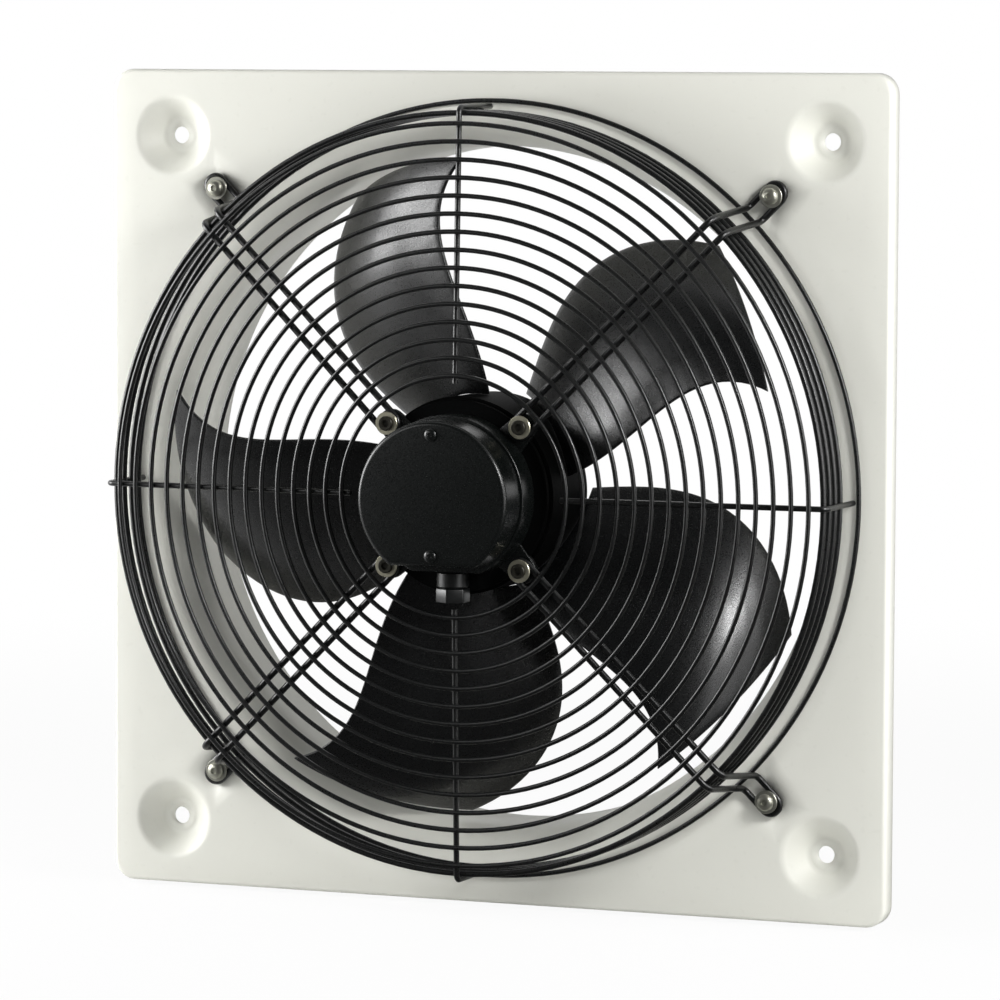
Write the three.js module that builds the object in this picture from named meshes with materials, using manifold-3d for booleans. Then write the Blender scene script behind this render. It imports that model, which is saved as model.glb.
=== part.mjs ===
// Window exhaust fan: a pressed square wall plate with a bellmouth throat, a round wire guard,
// an external rotor motor that hangs on the guard, and five sickle blades on the rotor.
// Millimetres, +Z up. The fan turns about the Y axis. The air comes in through the guard at -Y.
// The origin is on the fan's axis, in the plane where the plate's rim meets the wall.

import * as THREE from 'three';
import { mergeVertices } from 'three/addons/utils/BufferGeometryUtils.js';
import Module from 'manifold-3d';

const wasm = await Module();
wasm.setup();

// ---- Driving dimensions ----------------------------------------------------------------

const seatGap = 0.3;              // gap left between pieces that touch
const turningGap = 0.4;           // gap between the shaft or rotor and what stands still

const throatRadius = 178.5;       // inside of the nozzle behind the bellmouth
const bellRadius = 21;            // curve from the plate's face into the throat
const nozzleLength = 58;          // front face to the nozzle's rear edge

const plateMargin = 18;           // flat face left between the bellmouth and the plate's side
const plateSide = 2 * (throatRadius + bellRadius + plateMargin);
const plateCornerRadius = 13;
const plateDepth = 12;            // wall to front face, the height of the folded rim
const sheet = 1.5;                // plate sheet metal

const dishInset = 35;             // plate's sides to the middle of a dished corner fixing
const dishPitch = plateSide - 2 * dishInset;
const dishMouthRadius = 20;
const dishSeatRadius = 10;
const fixingHoleRadius = 4.5;

const housingRadius = 42.5;       // fixed part of the motor behind the cap
const housingFlatInset = 4.5;     // its side to the flat underside that holds the cable gland
const housingFlat = housingRadius - housingFlatInset;
const housingDepth = 18.5;        // front of the housing to its rear face
const flangeOverhang = 7;         // flange at the housing's rear, past the housing's side
const flangeThickness = 3;
const flangeRadius = housingRadius + flangeOverhang;

const lugReach = 9.5;             // motor screws, past the housing's side
const lugRadius = housingRadius + lugReach;
const lugBossRadius = 7;
const lugThickness = 4.5;
const motorScrewRadius = 2.5;
const motorScrewHeadRadius = 3.8;
const motorScrewHeadHeight = 3;
const motorWasherRadius = 6;
const motorWasherThickness = 1.2;
const motorScrewReach = 3.5;      // how far a motor screw reaches into its lug
const screwClearance = 0.3;

const capInset = 1.5;             // front cap of the motor, inside the housing's side
const capRadius = housingRadius - capInset;
const capFlatInset = 4.5;         // inside the housing's flat
const capFlat = housingFlat - capFlatInset;
const capDepth = 20;
const capEdge = 2;                // rounding of its front edge
const capWall = 2.5;
const capScrewRadius = 2;
const capScrewHeadRadius = 3.2;
const capScrewHeadHeight = 1.6;
const capScrewReach = 8;          // how far a cap screw reaches into the housing
const upperScrewInset = 7.3;      // cap's side to the upper screw
const lowerScrewInset = 5.3;      // cap's flat to the lower screw
const upperCapScrew = capRadius - upperScrewInset;
const lowerCapScrew = capFlat - lowerScrewInset;

const glandBodyRadius = 8.4;
const glandBodyLength = 8.3;
const glandNutRadius = 9.2;       // across the corners of its hexagon
const glandNutLength = 7.5;
const glandBoreRadius = 3.5;
const glandFaceInset = 10;        // gland axis, behind the housing's front
const glandSlotGap = 1;           // slot in the flange that the gland hangs in

const ringWireRadius = 1.25;      // concentric rings of the guard
const crossWireRadius = 1.5;
const baseWireRadius = 1.25;
const strutWireRadius = 1.75;
const strutHalfWidth = 5;         // half the distance between a strut's two wires
const ringCount = 15;
const guardOverhang = 12.5;       // outermost front ring, past the throat
const outerRingRadius = throatRadius + guardOverhang;
const lugToRing = 10.2;           // motor screws to the first ring
const firstRingRadius = lugRadius + lugToRing;
const ringPitch = (outerRingRadius - firstRingRadius) / (ringCount - 1);
const guardHeight = 47.5;         // plate face to the centre of the outermost front ring
const guardCrown = 6;             // how much further forward the guard's centre would be
const shoulderReach = 8.3;        // outermost ring to where the wires turn to the side
const shoulderRadius = outerRingRadius + shoulderReach;
const legSpread = 6.2;            // how much the guard's side widens towards the plate
const heelRadius = shoulderRadius + legSpread;
const shoulderBend = 6;
const heelBend = 4;
const sideRingCount = 4;
const firstSideRingDepth = 36;    // in front of the plate's face
const sideRingPitch = 5.1;
const crossWireOverhang = 4;      // inner end of a cross wire, past the first ring
const footReach = 13.6;           // guard screws on the plate, past the heel
const footRadius = heelRadius + footReach;
const footOverrun = 2;            // wire loop of a foot, past the middle of its screw

const footScrewRadius = 2.5;
const footScrewHeadRadius = 4.4;
const footScrewHeadHeight = 3.2;
const footScrewLength = 12;
const footWasherRadius = 6;
const footWasherThickness = 1.2;

const rotorOverhang = 8.5;        // outside of the rotor, past the housing's side
const rotorRadius = housingRadius + rotorOverhang;
const rotorWall = 2.8;
const rotorBack = 3;
const rotorLip = 2;               // running gap between housing and rotor
const rotorBossRadius = 10;
const rotorTail = 13;             // stator core to the rotor's back wall
const rotorEdge = 6;              // rounding of the rotor's rear edge
const rotorCoreWall = 9.5;        // ring of stacked sheets inside the rotor

const shaftRadius = 4;
const bearingRadius = 11;
const bearingWidth = 7;
const bearingTubeWall = 3;
const bearingTubeRadius = bearingRadius + bearingTubeWall;
const bearingShoulder = 1.8;      // step that each bearing rests on
const frontBearingInset = 8.5;    // behind the housing's front
const circlipWidth = 1.2;
const circlipRadius = 6.6;
const circlipGrooveDepth = 0.6;
const circlipMouth = 3;
const shaftNose = 3;              // shaft in front of the circlip

const coreLength = 27;            // stacked sheets of stator and rotor
const statorRadius = rotorRadius - rotorWall - seatGap - rotorCoreWall - turningGap;
const slotCount = 12;
const slotWidth = 6.6;
const slotFloorWall = 6;          // stator left between the bearing tube and the slots
const slotFloorRadius = bearingTubeRadius + slotFloorWall;
const toothTip = 5;               // winding to the stator's outside
const windingOuterRadius = statorRadius - toothTip;
const windingHeadDepth = 6;
const windingHeadRounding = 2;
const headSpace = 12;             // housing to stator core

const bladeCount = 5;
const tipGap = 5.5;               // blade tips to the throat
const bladeTipRadius = throatRadius - tipGap;
const bladeThickness = 2.4;
const bladeCamber = 7;
const leadingSweep = [11, 19.8, 32.3, 19.3];      // degrees at root, two controls and tip
const trailingSweep = [73.5, 75.3, 71.7, 47.5];
const bladeSetback = 10;          // leading edge, behind the rotor's front
const bladeDepth = 55;            // leading edge to trailing edge, along the axis
const rootSetback = 13;           // how much further back the leading edge starts at the root
const rootTrim = 10;              // how much earlier the trailing edge ends at the root
const setbackShare = [1, -0.2, 0, 0];             // of the root's setback, in the same order
const trimShare = [1, 0, 0, 0];

// ---- Fineness of the facets ------------------------------------------------------------

const throatSteps = 36;
const bellSteps = 4;
const smallRingSteps = 24;
const largeRingSteps = 32;
const largeRingRadius = 120;
const wireSides = 5;              // struts and cross wires
const ringSides = 4;              // the guard's many rings are coarser
const dishSteps = 14;
const boltSteps = 8;
const nutSides = 6;
const bearingSteps = 12;
const motorSteps = 24;
const windingSteps = 12;
const cornerSteps = 8;
const bendStep = Math.PI / 6;
const bladeSpanSteps = 8;
const bladeChordSteps = 6;
const edgeSteps = 2;              // rounded front edge of the cap
const rotorEdgeSteps = 2;
const cutOverrun = 1;             // how far a cutting tool starts and ends outside what it cuts
const samePlace = 1e-3;           // points closer than this are one
const weldDistance = 1e-4;
const screwCrownShare = 1 / 3;    // rounded part of a screw head's height

// ---- Positions worked out from the dimensions -------------------------------------------

const faceY = -plateDepth;
const guardRise = guardCrown / outerRingRadius;
const ringToStrut = ringWireRadius + seatGap + strutWireRadius;
const ringY = (radius) => faceY - guardHeight - guardRise * (outerRingRadius - radius);
const strutY = (radius) => ringY(radius) + ringToStrut;
const crossOffset = strutWireRadius - crossWireRadius;
const footWireY = faceY - seatGap - strutWireRadius;
const shoulderY = strutY(shoulderRadius);
const legSlope = (heelRadius - shoulderRadius) / (footWireY - shoulderY);
const legRadius = (y) => heelRadius + legSlope * (y - footWireY);

const lugFaceY = strutY(lugRadius) + strutWireRadius + seatGap;
const housingRearY = lugFaceY + lugThickness;
const housingFrontY = housingRearY - housingDepth;
const capRearY = housingFrontY - seatGap;
const capFrontY = capRearY - capDepth;
const rotorFrontY = housingRearY + rotorLip;
const coreFrontY = housingRearY + headSpace;
const coreRearY = coreFrontY + coreLength;
const rotorRearY = coreRearY + rotorTail + rotorBack;
const rotorFloorY = rotorRearY - rotorBack;
const frontBearingY = housingFrontY + frontBearingInset;
const frontShoulderY = frontBearingY + bearingWidth + seatGap;
const rearBearingY = coreRearY - bearingWidth;
const rearShoulderY = rearBearingY - seatGap;
const tubeRearY = coreRearY + seatGap;
const bearingBoreRadius = bearingRadius + seatGap;
const rotorBossY = tubeRearY + rotorLip;
const circlipY = frontBearingY - seatGap - circlipWidth;
const shaftFrontY = circlipY - seatGap - shaftNose;
const shellInnerRadius = rotorRadius - rotorWall;
const glandY = housingFrontY + glandFaceInset;
const capScrewPlaces = [upperCapScrew, -lowerCapScrew];

const quarter = Math.PI / 2;
const diagonalAngles = [1, 3, 5, 7].map((eighth) => (eighth * Math.PI) / 4);
const crossAngles = [0, 1, 2, 3].map((turn) => turn * quarter);

// ---- Materials --------------------------------------------------------------------------

const finish = (color, roughness, metalness) =>
  new THREE.MeshStandardMaterial({ color, roughness, metalness });
const plateFinish = finish(0xdcdad0, 0.45, 0.1);
const wireFinish = finish(0x15171a, 0.4, 0.2);
const bladeFinish = finish(0x202326, 0.45, 0.2);
const motorFinish = finish(0x121416, 0.5, 0.2);
const zincFinish = finish(0xb9b39a, 0.35, 0.9);
const steelFinish = finish(0xb8bcc0, 0.3, 0.95);
const coreFinish = finish(0x6d7176, 0.55, 0.8);
const copperFinish = finish(0xb06a3a, 0.4, 0.85);
const glandFinish = finish(0x1b1c1e, 0.6, 0);

// ---- Building blocks --------------------------------------------------------------------

const fan = new THREE.Group();

function addPiece(name, geometry, material, turn = 0) {
  const mesh = new THREE.Mesh(geometry, material);
  mesh.name = name;
  mesh.rotation.y = -turn;
  fan.add(mesh);
  return mesh;
}

function toSolid(geometry) {
  const bare = geometry.clone();
  bare.deleteAttribute('normal');
  bare.deleteAttribute('uv');
  const merged = mergeVertices(bare, weldDistance);
  const vertProperties = new Float32Array(merged.attributes.position.array);
  const triVerts = new Uint32Array(merged.index.array);
  return new wasm.Manifold(new wasm.Mesh({ numProp: 3, vertProperties, triVerts }));
}

function toGeometry(solid) {
  const mesh = solid.getMesh();
  const geometry = new THREE.BufferGeometry();
  geometry.setAttribute('position', new THREE.BufferAttribute(mesh.vertProperties, 3));
  geometry.setIndex(new THREE.BufferAttribute(mesh.triVerts, 1));
  geometry.computeVertexNormals();
  return geometry;
}

const joined = (geometries) => geometries.map(toSolid).reduce((sum, next) => sum.add(next));

function cut(solid, geometries) {
  return geometries.map(toSolid).reduce((rest, tool) => rest.subtract(tool), solid);
}

// A disc or drum about an axis along Y, between two depths.
function drum(radius, frontY, rearY, steps, x = 0, z = 0) {
  const geometry = new THREE.CylinderGeometry(radius, radius, rearY - frontY, steps);
  return geometry.translate(x, (frontY + rearY) / 2, z);
}

// A closed profile of [radius, y] pairs turned about the fan's axis.
function turned(profile, steps) {
  const points = profile.map(([radius, y]) => new THREE.Vector2(radius, y));
  if (profile[0][0] > 0) points.push(points[0].clone());
  if (THREE.ShapeUtils.area(points) < 0) points.reverse();
  return new THREE.LatheGeometry(points, steps);
}

// A flat outline in X and Z given depth along Y.
function pressed(outline, frontY, rearY, curveSteps, bevel = 0) {
  const geometry = new THREE.ExtrudeGeometry(outline, {
    depth: rearY - frontY - 2 * bevel,
    bevelEnabled: bevel > 0,
    bevelThickness: bevel,
    bevelSize: bevel,
    bevelOffset: -bevel,
    bevelSegments: edgeSteps,
    curveSegments: curveSteps,
  });
  return geometry.rotateX(quarter).translate(0, rearY - bevel, 0);
}

function roundedSquare(side, radius) {
  const half = side / 2;
  const outline = new THREE.Shape();
  outline.moveTo(half, half - radius);
  outline.absarc(half - radius, half - radius, radius, 0, quarter, false);
  outline.absarc(radius - half, half - radius, radius, quarter, 2 * quarter, false);
  outline.absarc(radius - half, radius - half, radius, 2 * quarter, 3 * quarter, false);
  outline.absarc(half - radius, radius - half, radius, 3 * quarter, 4 * quarter, false);
  outline.closePath();
  return outline;
}

// A circle with a flat underside.
function flattenedCircle(radius, flat) {
  const edge = Math.asin(flat / radius);
  const outline = new THREE.Shape();
  outline.absarc(0, 0, radius, -edge, Math.PI + edge, false);
  outline.closePath();
  return outline;
}

// A slot-shaped outline along X, with round ends centred at the two given places.
function slotOutline(fromX, toX, radius) {
  const outline = new THREE.Shape();
  outline.absarc(toX, 0, radius, -quarter, quarter, false);
  outline.absarc(fromX, 0, radius, quarter, 3 * quarter, false);
  outline.closePath();
  return outline;
}

// Replaces each corner of a path by an arc of that corner's bend radius. Open paths keep their ends.
function bentPath(corners, closed) {
  const path = [];
  corners.forEach(({ place, bend }, index) => {
    if (!closed && (index === 0 || index === corners.length - 1)) {
      path.push(place);
      return;
    }
    const before = corners.at(index - 1).place.clone().sub(place).normalize();
    const after = corners[(index + 1) % corners.length].place.clone().sub(place).normalize();
    const turnAngle = Math.PI - before.angleTo(after);
    const reach = bend * Math.tan(turnAngle / 2);
    const middle = before.clone().add(after).normalize();
    const centre = place.clone().addScaledVector(middle, bend / Math.cos(turnAngle / 2));
    const start = place.clone().addScaledVector(before, reach).sub(centre);
    const axis = after.clone().cross(before).normalize();
    const steps = Math.max(2, Math.round(turnAngle / bendStep));
    for (let step = 0; step <= steps; step += 1) {
      const arm = start.clone().applyAxisAngle(axis, (turnAngle * step) / steps);
      path.push(centre.clone().add(arm));
    }
  });
  return path.filter((point, index) => index === 0 || point.distanceTo(path[index - 1]) > samePlace);
}

// A round wire along a path. A closed path gives an endless loop, an open one gets flat ends.
function wire(path, radius, closed) {
  const count = path.length;
  const directions = path.map((point, index) => {
    const from = closed ? path.at(index - 1) : path[Math.max(index - 1, 0)];
    const to = closed ? path[(index + 1) % count] : path[Math.min(index + 1, count - 1)];
    return to.clone().sub(from).normalize();
  });
  const positions = [];
  const side = new THREE.Vector3().crossVectors(directions[0], new THREE.Vector3(0, 1, 0));
  if (side.length() < samePlace) side.set(1, 0, 0);
  side.normalize();
  path.forEach((point, index) => {
    if (index > 0) {
      const turn = new THREE.Quaternion();
      turn.setFromUnitVectors(directions[index - 1], directions[index]);
      side.applyQuaternion(turn);
    }
    const up = new THREE.Vector3().crossVectors(directions[index], side);
    for (let corner = 0; corner < wireSides; corner += 1) {
      const angle = ((corner + 0.5) * 2 * Math.PI) / wireSides;
      const vertex = point.clone();
      vertex.addScaledVector(side, radius * Math.cos(angle));
      vertex.addScaledVector(up, radius * Math.sin(angle));
      positions.push(vertex.x, vertex.y, vertex.z);
    }
  });
  const faces = [];
  const stretches = closed ? count : count - 1;
  for (let index = 0; index < stretches; index += 1) {
    const here = index * wireSides;
    const there = ((index + 1) % count) * wireSides;
    for (let corner = 0; corner < wireSides; corner += 1) {
      const next = (corner + 1) % wireSides;
      faces.push(here + corner, here + next, there + next);
      faces.push(here + corner, there + next, there + corner);
    }
  }
  if (!closed) {
    const last = (count - 1) * wireSides;
    for (let corner = 1; corner < wireSides - 1; corner += 1) {
      faces.push(0, corner + 1, corner);
      faces.push(last, last + corner, last + corner + 1);
    }
  }
  const geometry = new THREE.BufferGeometry();
  geometry.setAttribute('position', new THREE.Float32BufferAttribute(positions, 3));
  geometry.setIndex(faces);
  geometry.computeVertexNormals();
  return geometry;
}

function wireRing(radius, y, wireRadius) {
  const steps = radius < largeRingRadius ? smallRingSteps : largeRingSteps;
  return new THREE.TorusGeometry(radius, wireRadius, ringSides, steps).rotateX(quarter).translate(0, y, 0);
}

// A screw along Y with its head towards the viewer, turned about its own axis.
function screw(headRadius, headHeight, shankRadius, seatY, tipY, washer = null) {
  const crown = headHeight * screwCrownShare;
  const profile = [[0, seatY - headHeight], [headRadius - crown, seatY - headHeight]];
  profile.push([headRadius, seatY - headHeight + crown]);
  if (washer) {
    profile.push([headRadius, seatY - washer.thickness]);
    profile.push([washer.radius, seatY - washer.thickness]);
    profile.push([washer.radius, seatY]);
  } else {
    profile.push([headRadius, seatY]);
  }
  profile.push([shankRadius, seatY], [shankRadius, tipY], [0, tipY]);
  return turned(profile, boltSteps);
}

// ---- Wall plate -------------------------------------------------------------------------

function buildWallPlate() {
  const behindFace = faceY + sheet;
  const inside = plateSide - 2 * sheet;
  const insideRadius = plateCornerRadius - sheet;
  const bellSeat = throatRadius + bellRadius;
  const bellLip = bellSeat + 2 * sheet;
  const nozzleRearY = faceY + nozzleLength;

  const bell = [[bellLip, faceY]];
  for (let step = 0; step <= bellSteps; step += 1) {
    const angle = (quarter * step) / bellSteps;
    bell.push([bellSeat - bellRadius * Math.sin(angle), faceY + bellRadius * (1 - Math.cos(angle))]);
  }
  bell.push([throatRadius, nozzleRearY], [throatRadius + sheet, nozzleRearY]);
  for (let step = bellSteps; step >= 0; step -= 1) {
    const angle = (quarter * step) / bellSteps;
    const inner = bellRadius - sheet;
    bell.push([bellSeat - inner * Math.sin(angle), behindFace + inner * (1 - Math.cos(angle))]);
  }
  bell.push([bellLip, behindFace]);

  const coneSpread = (dishMouthRadius - dishSeatRadius) / (plateDepth - sheet);
  const dishBack = [[0, behindFace], [dishMouthRadius + sheet, behindFace]];
  dishBack.push([dishSeatRadius + sheet, 0], [0, 0]);
  const dishFront = [[0, faceY - sheet], [dishMouthRadius + coneSpread * sheet, faceY - sheet]];
  dishFront.push([dishSeatRadius, -sheet], [0, -sheet]);
  const dishCorners = [];
  for (const sideX of [-1, 1]) {
    for (const sideZ of [-1, 1]) dishCorners.push([(sideX * dishPitch) / 2, (sideZ * dishPitch) / 2]);
  }
  const atCorners = (profile) =>
    dishCorners.map(([x, z]) => turned(profile, dishSteps).translate(x, 0, z));
  const footHoles = diagonalAngles.map((angle) => {
    const x = footRadius * Math.cos(angle);
    const z = footRadius * Math.sin(angle);
    return drum(footScrewRadius + screwClearance, faceY - sheet, behindFace + sheet, boltSteps, x, z);
  });
  const fixingHoles = dishCorners.map(([x, z]) => drum(fixingHoleRadius, faceY, sheet, dishSteps, x, z));

  let plate = toSolid(pressed(roundedSquare(plateSide, plateCornerRadius), faceY, 0, cornerSteps / 2));
  plate = cut(plate, [pressed(roundedSquare(inside, insideRadius), behindFace, sheet, cornerSteps / 2)]);
  plate = cut(plate, [drum(bellLip, faceY - sheet, behindFace + sheet, throatSteps).rotateY(quarter)]);
  plate = plate.add(toSolid(turned(bell, throatSteps)));
  plate = plate.add(joined(atCorners(dishBack)));
  plate = cut(plate, [...atCorners(dishFront), ...fixingHoles, ...footHoles]);
  addPiece('wall_plate', toGeometry(plate), plateFinish);
}

// ---- Wire guard -------------------------------------------------------------------------

function buildGuard() {
  for (let ring = 0; ring < ringCount; ring += 1) {
    const radius = firstRingRadius + ring * ringPitch;
    addPiece(`guard_ring_${ring + 1}`, wireRing(radius, ringY(radius), ringWireRadius), wireFinish);
  }
  for (let ring = 0; ring < sideRingCount; ring += 1) {
    const y = faceY - firstSideRingDepth + ring * sideRingPitch;
    const radius = legRadius(y) - ringToStrut;
    addPiece(`side_ring_${ring + 1}`, wireRing(radius, y, ringWireRadius), wireFinish);
  }
  const baseY = faceY - seatGap - baseWireRadius;
  const baseRadius = legRadius(baseY) - strutWireRadius - seatGap - baseWireRadius;
  addPiece('base_ring', wireRing(baseRadius, baseY, baseWireRadius), wireFinish);

  const strutSide = (side) => {
    const innerEnd = lugRadius - strutHalfWidth;
    const footEnd = footRadius + footOverrun + strutHalfWidth;
    const z = side * strutHalfWidth;
    return [
      { place: new THREE.Vector3(innerEnd, strutY(innerEnd), z), bend: strutHalfWidth },
      { place: new THREE.Vector3(shoulderRadius, shoulderY, z), bend: shoulderBend },
      { place: new THREE.Vector3(heelRadius, footWireY, z), bend: heelBend },
      { place: new THREE.Vector3(footEnd, footWireY, z), bend: strutHalfWidth },
    ];
  };
  const strutPath = bentPath([...strutSide(-1), ...strutSide(1).reverse()], true);
  const strutLoop = wire(strutPath, strutWireRadius, true);
  diagonalAngles.forEach((angle, index) => addPiece(`strut_${index + 1}`, strutLoop, wireFinish, angle));

  const innerEnd = firstRingRadius - crossWireOverhang;
  const outerEndY = faceY - seatGap - crossWireRadius;
  const shoulder = new THREE.Vector3(shoulderRadius - crossOffset, shoulderY - crossOffset, 0);
  const crossCorners = [
    { place: new THREE.Vector3(innerEnd, strutY(innerEnd) - crossOffset, 0) },
    { place: shoulder, bend: shoulderBend },
    { place: new THREE.Vector3(legRadius(outerEndY) - crossOffset, outerEndY, 0) },
  ];
  const crossWire = wire(bentPath(crossCorners, false), crossWireRadius, false);
  crossAngles.forEach((angle, index) => addPiece(`cross_wire_${index + 1}`, crossWire, wireFinish, angle));
}

function buildFootFasteners() {
  const washerRearY = footWireY - strutWireRadius - seatGap;
  const washerFrontY = washerRearY - footWasherThickness;
  const headSeatY = washerFrontY - seatGap;
  const hole = footScrewRadius + screwClearance;
  const washerProfile = [[hole, washerFrontY], [footWasherRadius, washerFrontY]];
  washerProfile.push([footWasherRadius, washerRearY], [hole, washerRearY]);
  const tipY = headSeatY + footScrewLength;
  diagonalAngles.forEach((angle, index) => {
    const x = footRadius * Math.cos(angle);
    const z = footRadius * Math.sin(angle);
    const bolt = screw(footScrewHeadRadius, footScrewHeadHeight, footScrewRadius, headSeatY, tipY);
    addPiece(`foot_washer_${index + 1}`, turned(washerProfile, boltSteps).translate(x, 0, z), steelFinish);
    addPiece(`foot_screw_${index + 1}`, bolt.translate(x, 0, z), steelFinish);
  });
}

// ---- Motor, the part that stands still ---------------------------------------------------

// A disc at the housing's rear, with a slot below for the gland.
function buildFlange() {
  const disc = drum(flangeRadius, housingRearY - flangeThickness, housingRearY, motorSteps);
  const width = 2 * (glandBodyRadius + glandSlotGap);
  const slot = new THREE.BoxGeometry(width, flangeThickness + 2 * cutOverrun, flangeRadius);
  slot.translate(0, housingRearY - flangeThickness / 2, -housingFlat - flangeRadius / 2);
  return cut(toSolid(disc), [slot]);
}

function buildMotorHousing() {
  const lugs = diagonalAngles.map((angle) => {
    const outline = slotOutline(housingRadius / 2, lugRadius, lugBossRadius);
    return pressed(outline, lugFaceY, housingRearY, cornerSteps / 2).rotateY(-angle);
  });
  const lugHoles = diagonalAngles.map((angle) => {
    const x = lugRadius * Math.cos(angle);
    const z = lugRadius * Math.sin(angle);
    const holeRadius = motorScrewRadius + screwClearance;
    return drum(holeRadius, lugFaceY - cutOverrun, housingRearY + cutOverrun, boltSteps, x, z);
  });
  const capHoles = capScrewPlaces.map((z) => {
    const holeRadius = capScrewRadius + screwClearance;
    const depth = housingFrontY + capScrewReach + seatGap;
    return drum(holeRadius, housingFrontY - cutOverrun, depth, boltSteps, 0, z);
  });
  const waist = bearingBoreRadius - bearingShoulder;
  const boreFrontY = housingFrontY - cutOverrun;
  const boreRearY = tubeRearY + cutOverrun;
  const bore = [[0, boreFrontY], [bearingBoreRadius, boreFrontY]];
  bore.push([bearingBoreRadius, frontShoulderY], [waist, frontShoulderY]);
  bore.push([waist, rearShoulderY], [bearingBoreRadius, rearShoulderY]);
  bore.push([bearingBoreRadius, boreRearY], [0, boreRearY]);

  const bodyOutline = flattenedCircle(housingRadius, housingFlat);
  const body = pressed(bodyOutline, housingFrontY, housingRearY, motorSteps);
  const tube = drum(bearingTubeRadius, housingFrontY + capWall, tubeRearY, bearingSteps);
  let housing = joined([body, tube, ...lugs]).add(buildFlange());
  housing = cut(housing, [turned(bore, bearingSteps), ...lugHoles, ...capHoles]);
  addPiece('stator_housing', toGeometry(housing), motorFinish);
}

function buildMotorCap() {
  const outer = flattenedCircle(capRadius, capFlat);
  const inner = flattenedCircle(capRadius - capWall, capFlat - capWall);
  const holes = capScrewPlaces.map((z) =>
    drum(capScrewRadius + screwClearance, capFrontY - cutOverrun, capRearY, boltSteps, 0, z));
  const blockRearY = capRearY + 2 * capEdge;
  const behindCap = drum(housingRadius, capRearY, blockRearY, motorSteps);
  const cavity = pressed(inner, capFrontY + capWall, capRearY + capEdge, motorSteps);
  const block = toSolid(pressed(outer, capFrontY, blockRearY, motorSteps, capEdge));
  const cap = cut(block, [behindCap, cavity, ...holes]);
  addPiece('motor_cap', toGeometry(cap), motorFinish);

  const headSeatY = capFrontY - seatGap;
  const tipY = housingFrontY + capScrewReach;
  capScrewPlaces.forEach((z, index) => {
    const bolt = screw(capScrewHeadRadius, capScrewHeadHeight, capScrewRadius, headSeatY, tipY);
    addPiece(`cap_screw_${index + 1}`, bolt.translate(0, 0, z), steelFinish);
  });
}

function buildMotorScrews() {
  const seatY = strutY(lugRadius) - strutWireRadius - 2 * seatGap;
  const washer = { radius: motorWasherRadius, thickness: motorWasherThickness };
  const tipY = lugFaceY + motorScrewReach;
  diagonalAngles.forEach((angle, index) => {
    const bolt = screw(motorScrewHeadRadius, motorScrewHeadHeight, motorScrewRadius, seatY, tipY, washer);
    bolt.translate(lugRadius * Math.cos(angle), 0, lugRadius * Math.sin(angle));
    addPiece(`motor_screw_${index + 1}`, bolt, zincFinish);
  });
}

// The gland hangs under the housing's flat, so its axis is vertical.
function buildGland() {
  const hollow = (radius, length, topZ, steps) => {
    const profile = [[glandBoreRadius, 0], [radius, 0], [radius, length], [glandBoreRadius, length]];
    return turned(profile, steps).rotateX(quarter).translate(0, glandY, topZ - length);
  };
  const bodyTop = -housingFlat - seatGap;
  const nutTop = bodyTop - glandBodyLength - seatGap;
  addPiece('gland_body', hollow(glandBodyRadius, glandBodyLength, bodyTop, boltSteps), glandFinish);
  addPiece('gland_nut', hollow(glandNutRadius, glandNutLength, nutTop, nutSides), glandFinish);
}

function slotAngles() {
  return Array.from({ length: slotCount }, (unused, slot) => (slot * 2 * Math.PI) / slotCount);
}

function buildStator() {
  const bore = bearingTubeRadius + seatGap;
  const ring = [[bore, coreFrontY], [statorRadius, coreFrontY]];
  ring.push([statorRadius, coreRearY], [bore, coreRearY]);
  const slots = slotAngles().map((angle) => {
    const reach = statorRadius - slotFloorRadius + slotWidth;
    const box = new THREE.BoxGeometry(reach, coreLength + 2 * cutOverrun, slotWidth);
    return box.translate(slotFloorRadius + reach / 2, (coreFrontY + coreRearY) / 2, 0).rotateY(-angle);
  });
  addPiece('stator_core', toGeometry(cut(toSolid(turned(ring, motorSteps)), slots)), coreFinish);

  const innerRadius = slotFloorRadius + seatGap;
  const barWidth = slotWidth - 2 * seatGap;
  const barLength = coreLength + windingHeadDepth;
  const bars = slotAngles().map((angle) => {
    const box = new THREE.BoxGeometry(windingOuterRadius - innerRadius - seatGap, barLength, barWidth);
    const middle = (windingOuterRadius + innerRadius) / 2;
    return box.translate(middle, (coreFrontY + coreRearY) / 2, 0).rotateY(-angle);
  });
  const head = (startY) => {
    const profile = [[innerRadius, startY], [windingOuterRadius, startY]];
    profile.push([windingOuterRadius - windingHeadRounding, startY + windingHeadDepth]);
    profile.push([innerRadius + windingHeadRounding, startY + windingHeadDepth]);
    return turned(profile, windingSteps);
  };
  const rearHead = head(coreRearY + seatGap);
  const frontHead = head(0).rotateX(Math.PI).translate(0, coreFrontY - seatGap, 0);
  addPiece('winding', toGeometry(joined([frontHead, rearHead, ...bars])), copperFinish);
}

function buildBearings() {
  const bore = shaftRadius + turningGap;
  [frontBearingY, rearBearingY].forEach((frontY, index) => {
    const rearY = frontY + bearingWidth;
    const profile = [[bore, frontY], [bearingRadius, frontY], [bearingRadius, rearY], [bore, rearY]];
    addPiece(`bearing_${index + 1}`, turned(profile, bearingSteps), steelFinish);
  });
}

// ---- Rotor, the part that turns -----------------------------------------------------------

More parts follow.
